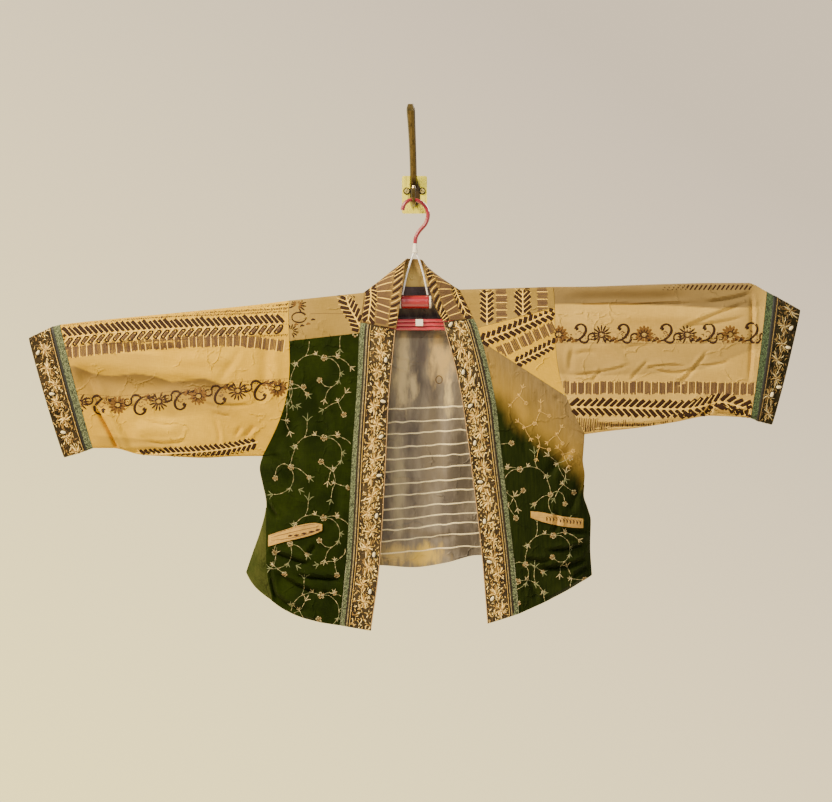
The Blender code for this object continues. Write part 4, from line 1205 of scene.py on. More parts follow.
def laid_on(grid, closed=False, lift=WALL / 2):
    """Finds the place on a cloth, and its normal, from millimetres across and along its cut."""
    out = normals(grid, closed)
    cut, _ = flat_cut(grid, closed)
    over, down = cut[0, :, 0], cut[:, 0, 1]

    def place_at(u, v):
        """The point there and its normal, or None past the cloth's edge."""
        if closed:
            u %= over[-1]
        if not (over[0] <= u <= over[-1] and down[0] <= v <= down[-1]):
            return None
        j = min(int(np.searchsorted(over, u, "right")) - 1, len(over) - 2)
        i = min(int(np.searchsorted(down, v, "right")) - 1, len(down) - 2)
        s = (u - over[j]) / (over[j + 1] - over[j])
        t = (v - down[i]) / (down[i + 1] - down[i])
        k = (j + 1) % grid.shape[1]
        values = [(1 - t) * ((1 - s) * g[i, j] + s * g[i, k])
                  + t * ((1 - s) * g[i + 1, j] + s * g[i + 1, k]) for g in (grid, out)]
        normal = Vector(values[1]).normalized()
        return Vector(values[0]) + normal * lift, normal

    return place_at


NARROWEST = 10


def hang(name, grid, finish, node, slot, rests_on, closed=False, wall=WALL, lift=0.0, flat=None):
    """A cloth made from a grid, with its finish, in place of the solid it stands for, which is hidden.
    Its cut is laid out on another grid, flat, where one is given. Piping is a cord in a strip too
    narrow to count as a sheet."""
    flat = grid if flat is None else flat
    cut, (width, length) = flat_cut(flat, closed)
    made = cloth(name, grid, cut, finish, wall, closed, lift)
    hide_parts(node)
    if min(width, length) >= NARROWEST:
        wide = np.concatenate([flat, flat[:, :1]], 1) if closed else flat
        over, down = np.diff(wide, axis=1)[:-1], np.diff(wide, axis=0)[:, :-1]
    return made


def round_steps(row, arc_steps=5, side_steps=84):
    """Shares round a sleeve, closer together on its two folds."""
    _, arc_top, level, arc_low = girth(row)
    total = 2 * (arc_top + level + arc_low)
    marks = [0, arc_top / total, (arc_top + level) / total, 0.5]
    half = []
    for a, b, steps in zip(marks, marks[1:], (arc_steps, side_steps, arc_steps)):
        half += spread(a, b, steps)[:-1]
    return half + [0.5] + [1 - at for at in reversed(half[1:])]


def body_rows(first, last):
    """Rows down a body panel, further apart over the shoulder's turn."""
    rows = [first]
    while rows[-1] < last - 0.02:
        rows.append(min(rows[-1] + (0.3 if rows[-1] < ROW_CAP else 0.14), last))
    return rows


# Creases pressed in by wear and by the way the jacket hangs. Each row is (x, z) where a crease
# starts, by way of, and ends, then its half width and its depth, and a ridge has a negative depth.
SLEEVE_CREASES = {
    LEFT: [
        # the wavy fold across the sleeve and the hollow under it
        (-584, -292, -500, -322, -400, -326, 17, 8.0), (-440, -322, -370, -318, -300, -332, 14, 6.0),
        # the tuck at the lower edge
        (-530, -352, -504, -392, -482, -448, 3.6, 10.0), (-516, -352, -492, -388, -466, -446, 8, -5.0),
        (-548, -296, -524, -330, -512, -372, 8, 4.0), (-446, -412, -410, -421, -371, -410, 3.2, 2.8),
        (-334, -364, -318, -371, -300, -371, 2.8, 2.2), (-330, -352, -300, -357, -262, -350, 3.2, 2.4),
        (-262, -386, -270, -396, -280, -408, 4.5, 3.6), (-284, -388, -290, -396, -296, -406, 3.6, 2.6),
        (-330, -376, -318, -396, -322, -420, 3.2, 2.4), (-284, -256, -298, -288, -326, -318, 6, 1.8),
        (-520, -258, -440, -266, -360, -258, 9, 3.0), (-250, -240, -232, -300, -262, -360, 11, 4.6),
        (-400, -282, -350, -276, -296, -282, 10, -3.0), (-470, -396, -420, -388, -380, -396, 12, -3.4),
        (-480, -432, -440, -425, -395, -432, 4.5, 3.4), (-440, -378, -424, -388, -390, -384, 3, 1.8),
        (-360, -340, -350, -352, -322, -356, 3, 1.6),
    ],
    RIGHT: [
        # the long flat fold along the top
        (232, -179, 350, -178, 470, -176, 11, 6.0), (240, -188, 350, -189, 478, -185, 2.6, 3.4),
        (470, -185, 520, -182, 558, -168, 4, 4.0), (300, -208, 400, -206, 520, -210, 10, -4.0),
        (553, -164, 557, -220, 548, -340, 3.6, 5.4), (250, -304, 310, -303, 362, -283, 2.6, 2.6),
        (352, -314, 362, -298, 386, -278, 2.6, 2.8), (372, -296, 404, -283, 450, -291, 2.6, 3.0),
        (376, -288, 424, -312, 466, -288, 2.6, 2.8), (428, -322, 458, -296, 482, -262, 3.0, 4.0),
        (452, -288, 492, -291, 520, -279, 2.6, 2.4), (430, -232, 490, -204, 552, -184, 3.6, 3.4),
        (440, -224, 500, -222, 548, -206, 3.4, 2.4), (462, -256, 500, -240, 540, -236, 3, 2.2),
        (262, -274, 272, -262, 300, -268, 4, 2.4), (256, -300, 252, -280, 262, -258, 5, 3.0),
        (288, -316, 300, -306, 306, -290, 2.8, 2.2), (494, -350, 482, -368, 458, -386, 4.5, 7.0),
        (482, -360, 520, -371, 556, -364, 4.5, 5.0), (380, -388, 430, -380, 480, -376, 5, 4.0),
        (290, -384, 350, -388, 400, -384, 3.6, 3.4), (258, -330, 240, -300, 236, -262, 7, 3.6),
        (300, -250, 330, -262, 350, -285, 6, -2.4), (340, -262, 360, -252, 392, -258, 3, 1.8),
    ],
}
# Painted shade on the sleeves, darker bands that stand in for the shade of their folds: the line, how
# far it reaches, how strong.
SLEEVE_PAINTED_SHADE = {
    LEFT: [
        ([(-600, -286), (-560, -288), (-530, -300), (-500, -304), (-460, -300), (-430, -304),
          (-400, -314), (-370, -311), (-345, -308), (-318, -318), (-280, -322)], 62, 1.0),
        ([(-545, -402), (-500, -404), (-440, -410), (-380, -424), (-300, -432)], 24, 0.5),
        ([(-650, -262), (-560, -264), (-500, -266), (-450, -268), (-400, -272)], 52, 0.34),
    ],
    RIGHT: [
        ([(190, -189), (260, -188), (350, -188), (430, -191), (500, -196), (585, -192)], -240, 0.9),
        ([(200, -300), (280, -306), (380, -304), (470, -296), (590, -250)], -90, 0.45),
    ],
}
SLEEVE_BACK_CREASES = {
    LEFT: [
        (-230, -236, -330, -250, -450, -262, 9, 3.7), (-560, -262, -530, -330, -500, -420, 9, 5.1),
        (-300, -420, -350, -392, -430, -398, 7, 3.4), (-250, -330, -300, -338, -352, -322, 6, 2.5),
        (-410, -300, -450, -320, -500, -310, 7, 2.7), (-260, -270, -268, -340, -282, -400, 13, 3.4),
    ],
    RIGHT: [
        (240, -200, 350, -214, 480, -200, 9, 4.1), (548, -180, 540, -260, 545, -340, 8, 4.4),
        (270, -370, 340, -350, 420, -352, 7, 3.4), (300, -270, 350, -282, 402, -264, 6, 2.5),
        (420, -300, 470, -318, 530, -300, 7, 2.7), (262, -230, 272, -300, 290, -372, 13, 3.4),
    ],
}
FRONT_CREASES = {
    LEFT: [
        (-246, -508, -236, -524, -222, -542, 4, 9.5), (-243, -590, -205, -606, -166, -614, 5.4, 8.6),
        (-198, -630, -155, -637, -116, -636, 4.5, 8.6), (-240, -652, -216, -682, -172, -693, 6.3, 9.5),
        (-176, -600, -168, -588, -160, -580, 4.5, 5.4), (-170, -300, -150, -360, -142, -440, 9.9, 4.6),
        (-210, -360, -190, -430, -196, -500, 10.8, 5.4), (-150, -652, -134, -664, -124, -684, 5.4, 6.8),
        (-236, -430, -212, -452, -196, -490, 6.3, 6.2), (-230, -622, -200, -650, -150, -662, 4.5, 7.3),
        (-238, -612, -236, -640, -226, -668, 4.5, 6.8), (-214, -690, -190, -704, -150, -706, 5.4, 6.8),
        (-128, -470, -120, -520, -132, -560, 8.1, 4.1),
    ],
    RIGHT: [
        (228, -344, 240, -340, 247, -328, 3.6, 8.6), (212, -590, 250, -590, 286, -580, 4, 8.9),
        (200, -618, 246, -624, 287, -604, 5.4, 10), (210, -676, 252, -662, 288, -634, 6.3, 10),
        (176, -600, 200, -612, 226, -606, 4.5, 6.2), (282, -470, 262, -500, 256, -532, 6.3, 6.8),
        (150, -330, 180, -380, 188, -450, 9.9, 4.6), (266, -420, 232, -440, 214, -480, 7.2, 5.7),
        (180, -630, 200, -650, 196, -676, 5.4, 6.2), (292, -560, 262, -566, 236, -556, 4.5, 7),
        (256, -640, 270, -622, 290, -618, 4.5, 7), (150, -540, 156, -590, 150, -640, 8.1, 4.3),
        (232, -520, 236, -544, 226, -566, 4.5, 5.4),
    ],
}
BACK_CREASES = [
    (-200, -240, -140, -330, -110, -430, 14, 3.7), (220, -230, 150, -320, 130, -430, 14, 4.1),
    (-60, -220, -40, -340, -70, -480, 15, 3.1), (60, -260, 30, -380, 50, -520, 14, 3.1),
    (-240, -470, -150, -500, -60, -490, 10, 4.4), (270, -460, 180, -500, 80, -486, 10, 4.4),
    (-250, -560, -160, -580, -90, -560, 9, 3.4), (270, -570, 190, -590, 110, -566, 9, 3.7),
    (-30, -560, 20, -580, 80, -572, 8, 3.1),
]
LINING_CREASES = [
    (-70, -240, -62, -330, -52, -430, 8, 3.1), (10, -230, 30, -320, 22, -400, 10, 2.7),
    (70, -250, 82, -340, 96, -430, 8, 2.7), (-60, -470, 10, -476, 80, -462, 9, 2.4),
    (-50, -560, 20, -572, 96, -552, 8, 2.7), (-20, -420, -10, -500, -22, -590, 11, 2.0),
]


def dress_sleeve(side):
    """The sleeve's silk with its prints, front and back."""
    name = side_name("sleeve", side)
    rows = SLEEVE[side]
    inset = SEAM_GAP / 2 / (rows[-1].out_top - rows[0].out_top)
    grid = facing(grid_of(lambda at, along: sleeve(side, along, at), round_steps(rows[0]),
                          spread(inset, 1 - 3 * inset, 134)))
    hold = held(*grid.shape[:2], top=0.07, bottom=0.05)
    grid = creased(grid, SLEEVE_CREASES[side], hold, SLEEVE_BACK_CREASES[side], closed=True)
    made = hang(name + "_silk", grid, SILK[side], name, "print_silk",
                [side_name("hanger_arm", side)], closed=True)
    # Painted shade that stands in for the shade of the sleeve's folds.
    paint_tone_zones(made, SLEEVE_PAINTED_SHADE[side])
    for face, y_from, seed in (("front", FROM_FRONT, 21), ("back", FROM_BACK, 22)):
        work = Work(seen_from(made, y_from), Random(seed))
        if side == LEFT:
            print_left_sleeve(work)
        else:
            print_right_sleeve(work)
        work.sew(f"{name}_print_{face}", PRINTS, "print_silk")


def print_left_sleeve(work):
    """From the top: a row of leaves and beans, blocks of ticks, scrolls, and leaves at the edge."""
    chance = work.chance
    top = curved([(-210, -219), (-288, -223), (-387, -227), (-486, -233), (-578, -242)])
    leaf_band(work, top, 16.5, 8.8, 0.8, (-1,))
    leaf_band(work, top, 15, 13.4, 0.9, (1,), outlined=True)
    for n, (point, way) in enumerate(walk(top, 2.9)):
        for low, high in ((18.3, 20.3), (22.5, 25.5), (29, 32)):
            a = off(point, way, chance.uniform(-1, 1), -chance.uniform(low, low + 1.5))
            b = off(point, way, chance.uniform(-2.5, -1), -chance.uniform(high, high + 2))
            work.stroke([a, b], (1.7, 2.2), PRINT, (TICK, DARK, TICK, RUST)[(n + int(low)) % 4])
        a, b = off(point, way, 0, 17.5), off(point, way, 1.6, 17.5 + chance.uniform(1, 4))
        work.stroke([a, b], (1.8, 1.2), PRINT, (TICK, DARK)[n % 2])
    tick_band(work, curved([(-588, -268), (-549, -264), (-470, -256), (-386, -250), (-300, -247),
                            (-250, -252), (-209, -257)]), 10.5, 12.1)
    scroll_border(work, curved([(-175, -325), (-254, -328), (-313, -334), (-386, -344),
                                (-460, -352), (-520, -352), (-570, -345)]), 66.5)
    leaf_band(work, curved([(-258, -414), (-300, -424), (-350, -430), (-400, -433), (-446, -436)]),
              10, 8.4, 0.9)


def print_right_sleeve(work):
    """From the top: scrolls, blocks of ticks, leaves, and fine strokes down to the lower edge."""
    chance = work.chance
    scroll_border(work, curved([(189, -236), (306, -237), (454, -237), (566, -236)]), 70.0)
    tick_band(work, curved([(243, -325), (388, -325), (470, -325), (553, -327)]), 11, 12.1)
    leaf_band(work, curved([(250, -356), (360, -358), (440, -360), (478, -354), (505, -348),
                            (548, -361)]), 14, 10.8, 1.0)
    for k in range(92):
        x = 268 + 2.9 * k
        top = np.interp(x, (268, 330, 420, 535), (-374, -378, -379, -377)) + chance.uniform(-1.5, 1.5)
        low = np.interp(x, (268, 330, 420, 470, 535), (-407, -400, -394, -386, -380))
        work.stroke([(x, top), (x + 2, (top + low) / 2), (x + 1, low)], (1.4, 2.3, 1.8), PRINT,
                    (TICK, DARK, TICK)[k % 3])
    for k in range(20):
        x = 408 + 7.4 * k
        work.stroke([(x, -164), (x + 6, -156)], (2.6, 3.2), PRINT, DARK)


def piping_bulge(steps):
    """How far the rows across a piping stand off it, as it is round."""
    return 0.6 * np.sin(np.linspace(0, pi, steps + 1))


def dress_cuff(side):
    """The cuff trim: green braid, dark piping, and brocade worked in cream and gold."""
    finishes = {"braid": CUFF_BRAID[side], "piping": PIPING, "brocade": CUFF_BROCADE[side]}
    for i, part in enumerate(TRIM):
        a, b = CUFF[side][i], CUFF[side][i + 1]
        inset = SEAM_GAP / 2 / (b.out_top - a.out_top)
        steps = {"braid": 3, "piping": 4, "brocade": 10}[part]

        def place(at, along):
            """A point of this part of the trim."""
            return ring(side, Sleeve(*(mix(p, q, along) for p, q in zip(a, b))), at)

        grid = facing(grid_of(place, round_steps(a, 4, 44), spread(inset, 1 - inset, steps)))
        if part == "piping":
            grid = grid + normals(grid, True) * piping_bulge(steps)[:, None, None]
        name = side_name(f"cuff_{part}", side)
        made = hang(name + "_cloth", grid, finishes[part], name, part,
                    [side_name("sleeve", side) + "_silk"], closed=True)
    _, (round_it, width) = flat_cut(grid, closed=True)
    at = laid_on(grid, closed=True)
    work = Work(lambda across, along: at(along, across), Random(31 + side))
    brocade(work, width, round_it, CUFF_TONES[side], CUFF_SHARE[side])
    inner = 0 if abs(grid[0, 0, 0]) < abs(grid[-1, 0, 0]) else width
    cords(work, lambda across: abs(inner - across), round_it)
    work.sew(name + "_petals", PETALS if side == LEFT else PETALS_IN_PAINTED_SHADE, "brocade")
    beads(seen_from(made, FROM_FRONT), name + "_beads", CUFF_BEADS[side])


def dress_front(name, side, first, last, finish, slot, rests_on, chance=None):
    """A stretch of a front between two rows. Gives the strokes that its decoration is made of."""
    first += ROW_INSET if first == 0 else SEAM_INSET
    last -= SEAM_INSET if last < ROW_HEM else 0
    side_inset, band_inset = SIDE_INSET / FRONT_WIDTH, SEAM_GAP / 2 / FRONT_WIDTH
    across = [mix(side_inset, 1 - band_inset, (i / 38) ** 1.15) for i in range(39)]
    grid = grid_of(lambda u, row: front(side, u, row), across, body_rows(first, last))
    grid = facing(grid, TO_VIEWER)
    if last == ROW_HEM:
        grid = creased(grid, FRONT_CREASES[side], held(*grid.shape[:2], top=0.1, sides=0.1))
    made = hang(name + "_cloth", grid, finish, name, slot, rests_on)
    return Work(seen_from(made, FROM_FRONT), chance)


def dress_left_yoke():
    """The left yoke: one print of leaves near the neck, a broken ring and three flowers."""
    work = dress_front("yoke_left", LEFT, 0, ROW_YOKE[LEFT], YOKE_SILK, "print_silk",
                       ["hanger_arm_left"], Random(41))
    leaf_band(work, curved([(-84, -236), (-96, -212), (-108, -190), (-113, -172)]), 13, 8.4, 0.8)
    oval = [(-190 + 12 * cos(a), -209 + 8.5 * sin(a)) for a in np.linspace(0.5, 6.3, 16)]
    work.stroke(oval, (3.6, 2.6, 2.2, 2.8, 1.8), PRINT, DARK)
    for k, (x, z) in enumerate([(-198, -222), (-188, -224), (-178, -221), (-170, -214)]):
        work.stroke([(x, z), (x + 3, z + 2), (x + 7, z + 1)], (2.0, 4.2, 1.6), PRINT,
                    (RUST, DARK)[k % 2])
    flower(work, (-193, -188), 1.2, 15, 11, 4.6, DARK, 3.2)
    flower(work, (-193, -188), 1.2, 9, 9, 4.4, RUST, 3.2)
    flower(work, (-203, -232), 0.4, 12, 7, 3.0, DARK, 3.0)
    work.stroke(curved([(-171, -203), (-150, -202.5), (-118, -203)]), (0.7, 0.7), PRINT, TICK)
    work.sew("yoke_left_print", PRINTS, "print_silk")


def dress_left_front():
    """The left front: moss crepe with four embroidered vines and twigs between them."""
    work = dress_front("front_left", LEFT, ROW_YOKE[LEFT], ROW_HEM, GREEN, "moss_crepe",
                       ["yoke_left_cloth"])
    for x, z, turn, size in ((-148, -276, -3, 0.92), (-148, -407, 2, 0.96), (-148, -537, -2, 0.92),
                             (-152, -663, 3, 0.94)):
        vine(work, (x, z), turn, size)
    for x, z, turn in ((-128, -350, 12), (-130, -484, 60), (-133, -608, -4), (-204, -330, 84),
                       (-212, -375, 250), (-232, -618, 40), (-120, -238, 70), (-190, -690, 20)):
        vine(work, (x, z), turn, 0.85, whole=False)
    work.sew("front_left_vines", THREADS, "moss_crepe")


def dress_right_yoke():
    """The right yoke: upright prints, leaves and ticks in turn. Gives the chance that goes on."""
    work = dress_front("yoke_right", RIGHT, 0, ROW_PATCH, YOKE_SILK, "print_silk",
                       ["hanger_arm_right"], Random(43))
    leaf_band(work, [(119, -222), (119, -163)], 11, 8.2, 0.8)
    tick_band(work, [(143, -222), (143, -163)], 9.5, 12.4)
    leaf_band(work, [(178, -214), (178, -159)], 13, 8.2, 0.9)
    tick_band(work, [(210, -204), (210, -159)], 9, 12.4)
    work.sew("yoke_right_print", PRINTS, "print_silk")
    return work.chance


def dress_chest_patch(chance):
    """The patch under the right yoke: prints that slant up to the sleeve."""
    work = dress_front("chest_patch_right", RIGHT, ROW_PATCH, ROW_YOKE[RIGHT], SILK[LEFT],
                       "print_silk", ["yoke_right_cloth"], chance)
    leaf_band(work, curved([(106, -250), (166, -227), (224, -202)]), 11, 9.4, 0.7)
    tick_band(work, curved([(136, -268), (183, -246), (228, -226)]), 11, 13.0)
    leaf_band(work, curved([(163, -286), (199, -268), (230, -252)]), 9, 8.4, 0.8)
    work.sew("chest_patch_print", PRINTS, "print_silk")


def dress_right_front():
    """The right front: dip-dyed crepe, vines on its green and faint gold sprays on its gold."""
    work = dress_front("front_right", RIGHT, ROW_YOKE[RIGHT], ROW_HEM, OMBRE, "ombre_crepe",
                       ["chest_patch_right_cloth"])
    for x, z, turn, flip in ((172, -458, 0, -1), (226, -566, 6, 1), (168, -640, -8, -1)):
        vine(work, (x, z), turn, 0.86, flip)
    for x, z, turn in ((242, -486, 40), (136, -420, 80), (150, -520, 20), (256, -640, 70),
                       (236, -452, 100)):
        vine(work, (x, z), turn, 0.85, whole=False)
    work.sew("front_right_vines", THREADS, "ombre_crepe")
    work = Work(work.place_at)
    for x, z, turn in ((170, -340, 30), (206, -366, 50), (182, -392, 100), (232, -404, 20),
                       (246, -436, 95), (204, -424, 60)):
        vine(work, (x, z), turn, 0.6, whole=False)
    work.sew("front_right_gold_sprays", [GOLD_THREAD] * 3, "ombre_crepe")


def dress_back():
    """The back: olive crepe with rows of the same vines. Gives its columns."""
    tips = [ring(side, SLEEVE[side][0], 0).x for side in (LEFT, RIGHT)]
    columns = [(x - tips[0]) / (tips[1] - tips[0])
               for x in spread(tips[0] + SIDE_INSET, tips[1] - SIDE_INSET, 104)]
    grid = facing(grid_of(back, columns, body_rows(ROW_INSET, ROW_HEM)), FROM_VIEWER)
    grid = creased(grid, BACK_CREASES, held(*grid.shape[:2], top=0.12, sides=0.06))
    made = hang("back_cloth", grid, OLIVE, "back", "olive_crepe",
                ["hanger_arm_left", "hanger_arm_right"])
    work = Work(seen_from(made, FROM_BACK))
    for k, x in enumerate((-168, -30, 108, 232)):
        for n, z in enumerate((-236, -366, -496, -610)):
            if x > 200 and n == 0:
                continue
            turn = ((k + n) % 3 - 1) * 7
            vine(work, (x + 24 * (n % 2) - 12, z), turn, 0.9)
            vine(work, (x + 58, z - 74), 40 * (k - n), 0.8, whole=False)
    work.sew("back_vines", THREADS, "olive_crepe")
    return columns


def dress_lining(columns):
    """The inner silk of the back, with its cream stripes and the small facing at the neck."""
    grid = facing(grid_of(back, columns[3:-3], body_rows(ROW_CAP + 0.35, ROW_HEM)), TO_VIEWER)
    inner = creased(grid, BACK_CREASES, held(*grid.shape[:2], top=0.08, sides=0.05))
    hold = held(*grid.shape[:2], top=0.1, bottom=0.05, sides=0.08)
    inner = creased(inner, LINING_CREASES, -0.45 * hold)
    made = hang("back_lining_cloth", inner, INNER, "back_lining", "inner_silk", ["back_cloth"],
                lift=LINING_LIFT, flat=grid)
    tips = [ring(side, SLEEVE[side][0], 0).x for side in (LEFT, RIGHT)]
    middle = [u for u in columns if abs(mix(tips[0], tips[1], u)) < FACING_HALF]
    rows = [[back(u, max(row, 0.1)) + Vector((0, 0, 5 if row == 0 else 0)) for u in middle]
            for row in (0, 0.5, 1.5, 2.5, 3.25)]
    grid = facing(np.array([[point[:] for point in row] for row in rows]), TO_VIEWER)
    cut, _ = flat_cut(grid)
    cloth("back_lining_neck_facing", grid, cut, NECK_FACING, lift=LINING_LIFT)
    work = Work(seen_from(made, FROM_FRONT))
    chance = Random(51)
    ring_mark = [(41 + 5.5 * cos(a), -311 + 6.5 * sin(a)) for a in np.linspace(0, 2 * pi, 14)]
    work.stroke(ring_mark, (1.3, 1.9, 1.2), 0.12, 1)
    for z, rise in STRIPES:
        line = [(x, z + rise * smooth((x + 80) / 200) + chance.uniform(-1.0, 1.0))
                for x in range(-104, 136, 12)]
        widths = [chance.uniform(2.2, 3.3) for _ in line]
        work.stroke(curved(line, 3), widths, 0.35, 0)
    work.sew("back_lining_stripes", [STRIPE, PRINTS[TICK]], "inner_silk")


def dress_side_seams():
    """The gore in the left side, a cord down its seam, and the seam that closes the right side."""
    rows = spread(ROW_GORE, ROW_HEM, 44)
    grid = facing(np.array([[gore(u, row)[:] for u in gore_steps(row)] for row in rows]), (-1, 0, 0))
    hang("side_left_cloth", grid, OLIVE, "side_left", "olive_crepe",
         ["back_cloth", "front_left_cloth"], wall=1.0)
    aside = Vector((-0.4, -0.9, 0)).normalized()
    seam = Work(lambda row, _: (side_edge(LEFT, row, "front"), aside))
    seam.stroke([(row, 0) for row in rows], (2.6, 2.6), 0.9, 0)
    seam.sew("side_left_seam", [OLIVE], "olive_crepe")

    def right_side(row, _):
        """The middle of the right side between front and back."""
        return side_edge(RIGHT, row, "front").lerp(side_edge(RIGHT, row, "back"), 0.5), Vector((1, 0, 0))

    seam = Work(right_side)
    gap = side_edge(RIGHT, rows[0], "front") - side_edge(RIGHT, rows[0], "back")
    wide = gap.length + 4.4
    seam.stroke([(row, 0) for row in rows], (wide, wide), 0.9, 0)
    seam.sew("side_right_seam", [OMBRE], "ombre_crepe")


def gore_steps(row):
    """Shares across the gore at a row."""
    inset = GORE_INSET / (side_edge(LEFT, row, "back") - side_edge(LEFT, row, "front")).length
    return spread(inset, 1 - inset, 10)


def dress_band(side):
    """The front band: green braid, dark piping, brocade with beads, and a cord on its free edge."""
    finishes = {"braid": BRAID, "piping": PIPING, "brocade": BROCADE}
    first = ROW_BAND[side] + SEAM_INSET
    marks = [(row - ROW_BAND[side]) / (ROW_HEM - ROW_BAND[side]) for row in body_rows(first, ROW_HEM)]
    inset = SEAM_GAP / 2 / BAND_WIDTH
    for part in TRIM:
        edge, free = BAND[part]
        steps = {"braid": 3, "piping": 4, "brocade": 11}[part]
        columns = spread(edge + inset, free - inset, steps)
        grid = grid_of(lambda u, along: band(side, u, along), columns, marks)
        if part == "piping":
            grid = grid + normals(facing(grid, TO_VIEWER)) * piping_bulge(steps)[None, :, None]
        grid = facing(grid, TO_VIEWER)
        name = side_name(f"band_{part}", side)
        hang(name + "_cloth", grid, finishes[part], name, part, [side_name("front", side) + "_cloth"])
        _, (width, length) = flat_cut(grid)
        seam_first = grid[0, 0, 0] * side < grid[0, -1, 0] * side
        if part == "braid":
            work = Work(laid_on(grid))
            near = 1.5 if seam_first else width - 1.5
            work.stroke([(near, b) for b in np.arange(1, length - 0.5, 4)], (2.6, 2.6), 0.5, 0)
            work.sew(name + "_edge", [PETALS[5]], "braid")
    at = laid_on(grid)
    work = Work(lambda a, b: at(a if seam_first else width - a, b), Random(61 + side))
    brocade(work, width, length, (0, 0, 1, 1, 0, 2, 3), 0.7)
    edge_line = [(0.9, b) for b in np.arange(1, length, 4)]
    work.stroke(edge_line, (1.5, 1.5), 0.8, 4)
    work.stroke([(2.6, b) for _, b in edge_line], (1.4, 1.4), 0.5, 5)
    cords(work, lambda across: width - across, length)
    work.sew(name + "_petals", PETALS, "brocade")
    beads(work.place_at, name + "_beads", BAND_BEADS[side])


def solve_pair(turn, goal, step):
    """How far to go in two slanting directions to get a wanted step in two square ones."""
    (a, b), (c, d) = turn
    whole = a * d - b * c
    return ((goal[0] * d - b * goal[1]) / whole * step, (a * goal[1] - goal[0] * c) / whole * step)


BEAD_SIDES, RING_STROKES = 12, 14
BEAD_LEVELS = [(1.0, 0.0), (0.86, 2.0), (0.48, 3.1)]  # a bead's width, as a share, and its height
BEAD_HEIGHT = 3.5


def beads(place_at, name, places):
    """Drop-shaped beads: each is a small half ball drawn out to a point, in a ring of dark thread."""
    verts, faces = [], []
    rings = Work(place_at)
    for across, along in places:
        point, normal = place_at(across, along)
        lean = radians(55 + 50 * sin(2.3 * along))
        up = Vector((sin(lean), 0, cos(lean)))
        up = (up - normal * up.dot(normal)).normalized()
        aside = up.cross(normal)
        start = len(verts)
        step = 0.01
        over = place_at(across + step, along)[0], place_at(across, along + step)[0]
        turn = [[(end - point).dot(way) for end in over] for way in (aside, up)]
        for k in range(RING_STROKES):
            a, b = 2 * pi * k / RING_STROKES, 2 * pi * (k + 1.2) / RING_STROKES
            ends = []
            for angle in (a, b):
                reach = 4.5 * (1 + 0.7 * max(sin(angle), 0) ** 3)
                local = (0.8 * reach * cos(angle), reach * sin(angle))
                ends.append(solve_pair(turn, local, step))
            rings.stroke([(across + p, along + q) for p, q in ends], (1.8, 1.8), 2.1)
        for share, high in BEAD_LEVELS:
            for k in range(BEAD_SIDES):
                a = 2 * pi * k / BEAD_SIDES
                reach = 3.7 * share * (1 + 0.75 * max(sin(a), 0) ** 3)
                verts.append((point + aside * 0.8 * reach * cos(a) + up * reach * sin(a)
                              + normal * (high + 0.1)) * MM)
        verts.append((point + normal * BEAD_HEIGHT) * MM)
        verts.append(point * MM)
        sides = [(k, (k + 1) % BEAD_SIDES) for k in range(BEAD_SIDES)]
        for low in (start, start + BEAD_SIDES):
            faces += [[low + k, low + j, low + BEAD_SIDES + j, low + BEAD_SIDES + k] for k, j in sides]
        upper, top = start + 2 * BEAD_SIDES, start + 3 * BEAD_SIDES
        for k, j in sides:
            faces.append([upper + k, upper + j, top])
            faces.append([start + j, start + k, top + 1])
    piece(name, verts, faces, [BEAD])
    rings.sew(name.replace("beads", "bead_rings"), [PETALS[5]], "brocade")


def dress_neck():
    """The neck band: printed leaves along its free edge, ticks and a leaf stem beside them."""
    left = [NECK_TURN * (1 - row / ROW_BAND[LEFT]) for row in reversed(body_rows(0, ROW_BAND[LEFT]))]
    right = [1 - NECK_TURN * (1 - row / ROW_BAND[RIGHT]) for row in body_rows(0, ROW_BAND[RIGHT])]
    along = left + spread(NECK_TURN, 1 - NECK_TURN, 40)[1:-1] + right
    grid = facing(grid_of(neck, spread(NECK_INSET / NECK_WIDTH, 1, 18), along), TO_VIEWER)
    _, (width, length) = flat_cut(grid)
    made = hang("neck_band_cloth", grid, NECK_SILK, "neck_band", "print_silk",
                ["yoke_left_cloth", "yoke_right_cloth"])
    # The inner face near the nape turns to its facing's ochre, made lighter than it is as painted light
    # against the shade it lies in, and fading out towards the band's top.
    mark_painted_tone(made, [
        (vert.normal.y < -0.3 and abs(vert.co.x) < 32 * MM and vert.co.y > -26 * MM)
        * smooth((vert.co.z / MM + 111) / -38) for vert in made.data.vertices])
    work = Work(laid_on(grid), Random(71))
    middle = length * 0.5
    leaf_strokes(work, width * 0.885, width * 0.11, 3, length - 3)
    tick_band(work, [(width * 0.57, b) for b in np.arange(2, middle * 1.1, 6)], width * 0.19, 11.0, 5)
    leaf_band(work, [(width * 0.2, b) for b in np.arange(2, middle, 6)][::-1], width * 0.17, 8.6, 0.8)
    right_half = np.arange(middle * 1.2, length, 6)
    leaf_band(work, [(width * 0.15, b) for b in right_half], width * 0.14, 8.4, 0.8)
    tick_band(work, [(width * 0.54, b) for b in right_half], width * 0.22, 11.0)
    work.sew("neck_band_print", PRINTS, "print_silk")


def leaf_strokes(work, across, half, first, last):
    """One column of slanting printed leaves down a band."""
    for b in np.arange(first, last, 8.6):
        reach = half * work.chance.uniform(0.85, 1.05)
        work.stroke([(across - reach, b), (across, b + 3.6), (across + reach, b + 8)],
                    (3.6, 5.4, 3.6), PRINT, DARK)
        work.stroke([(across - reach, b + 4.3), (across, b + 7.9), (across + reach, b + 12.3)],
                    (1.2, 1.6, 1.2), PRINT * 1.5, LIGHT)


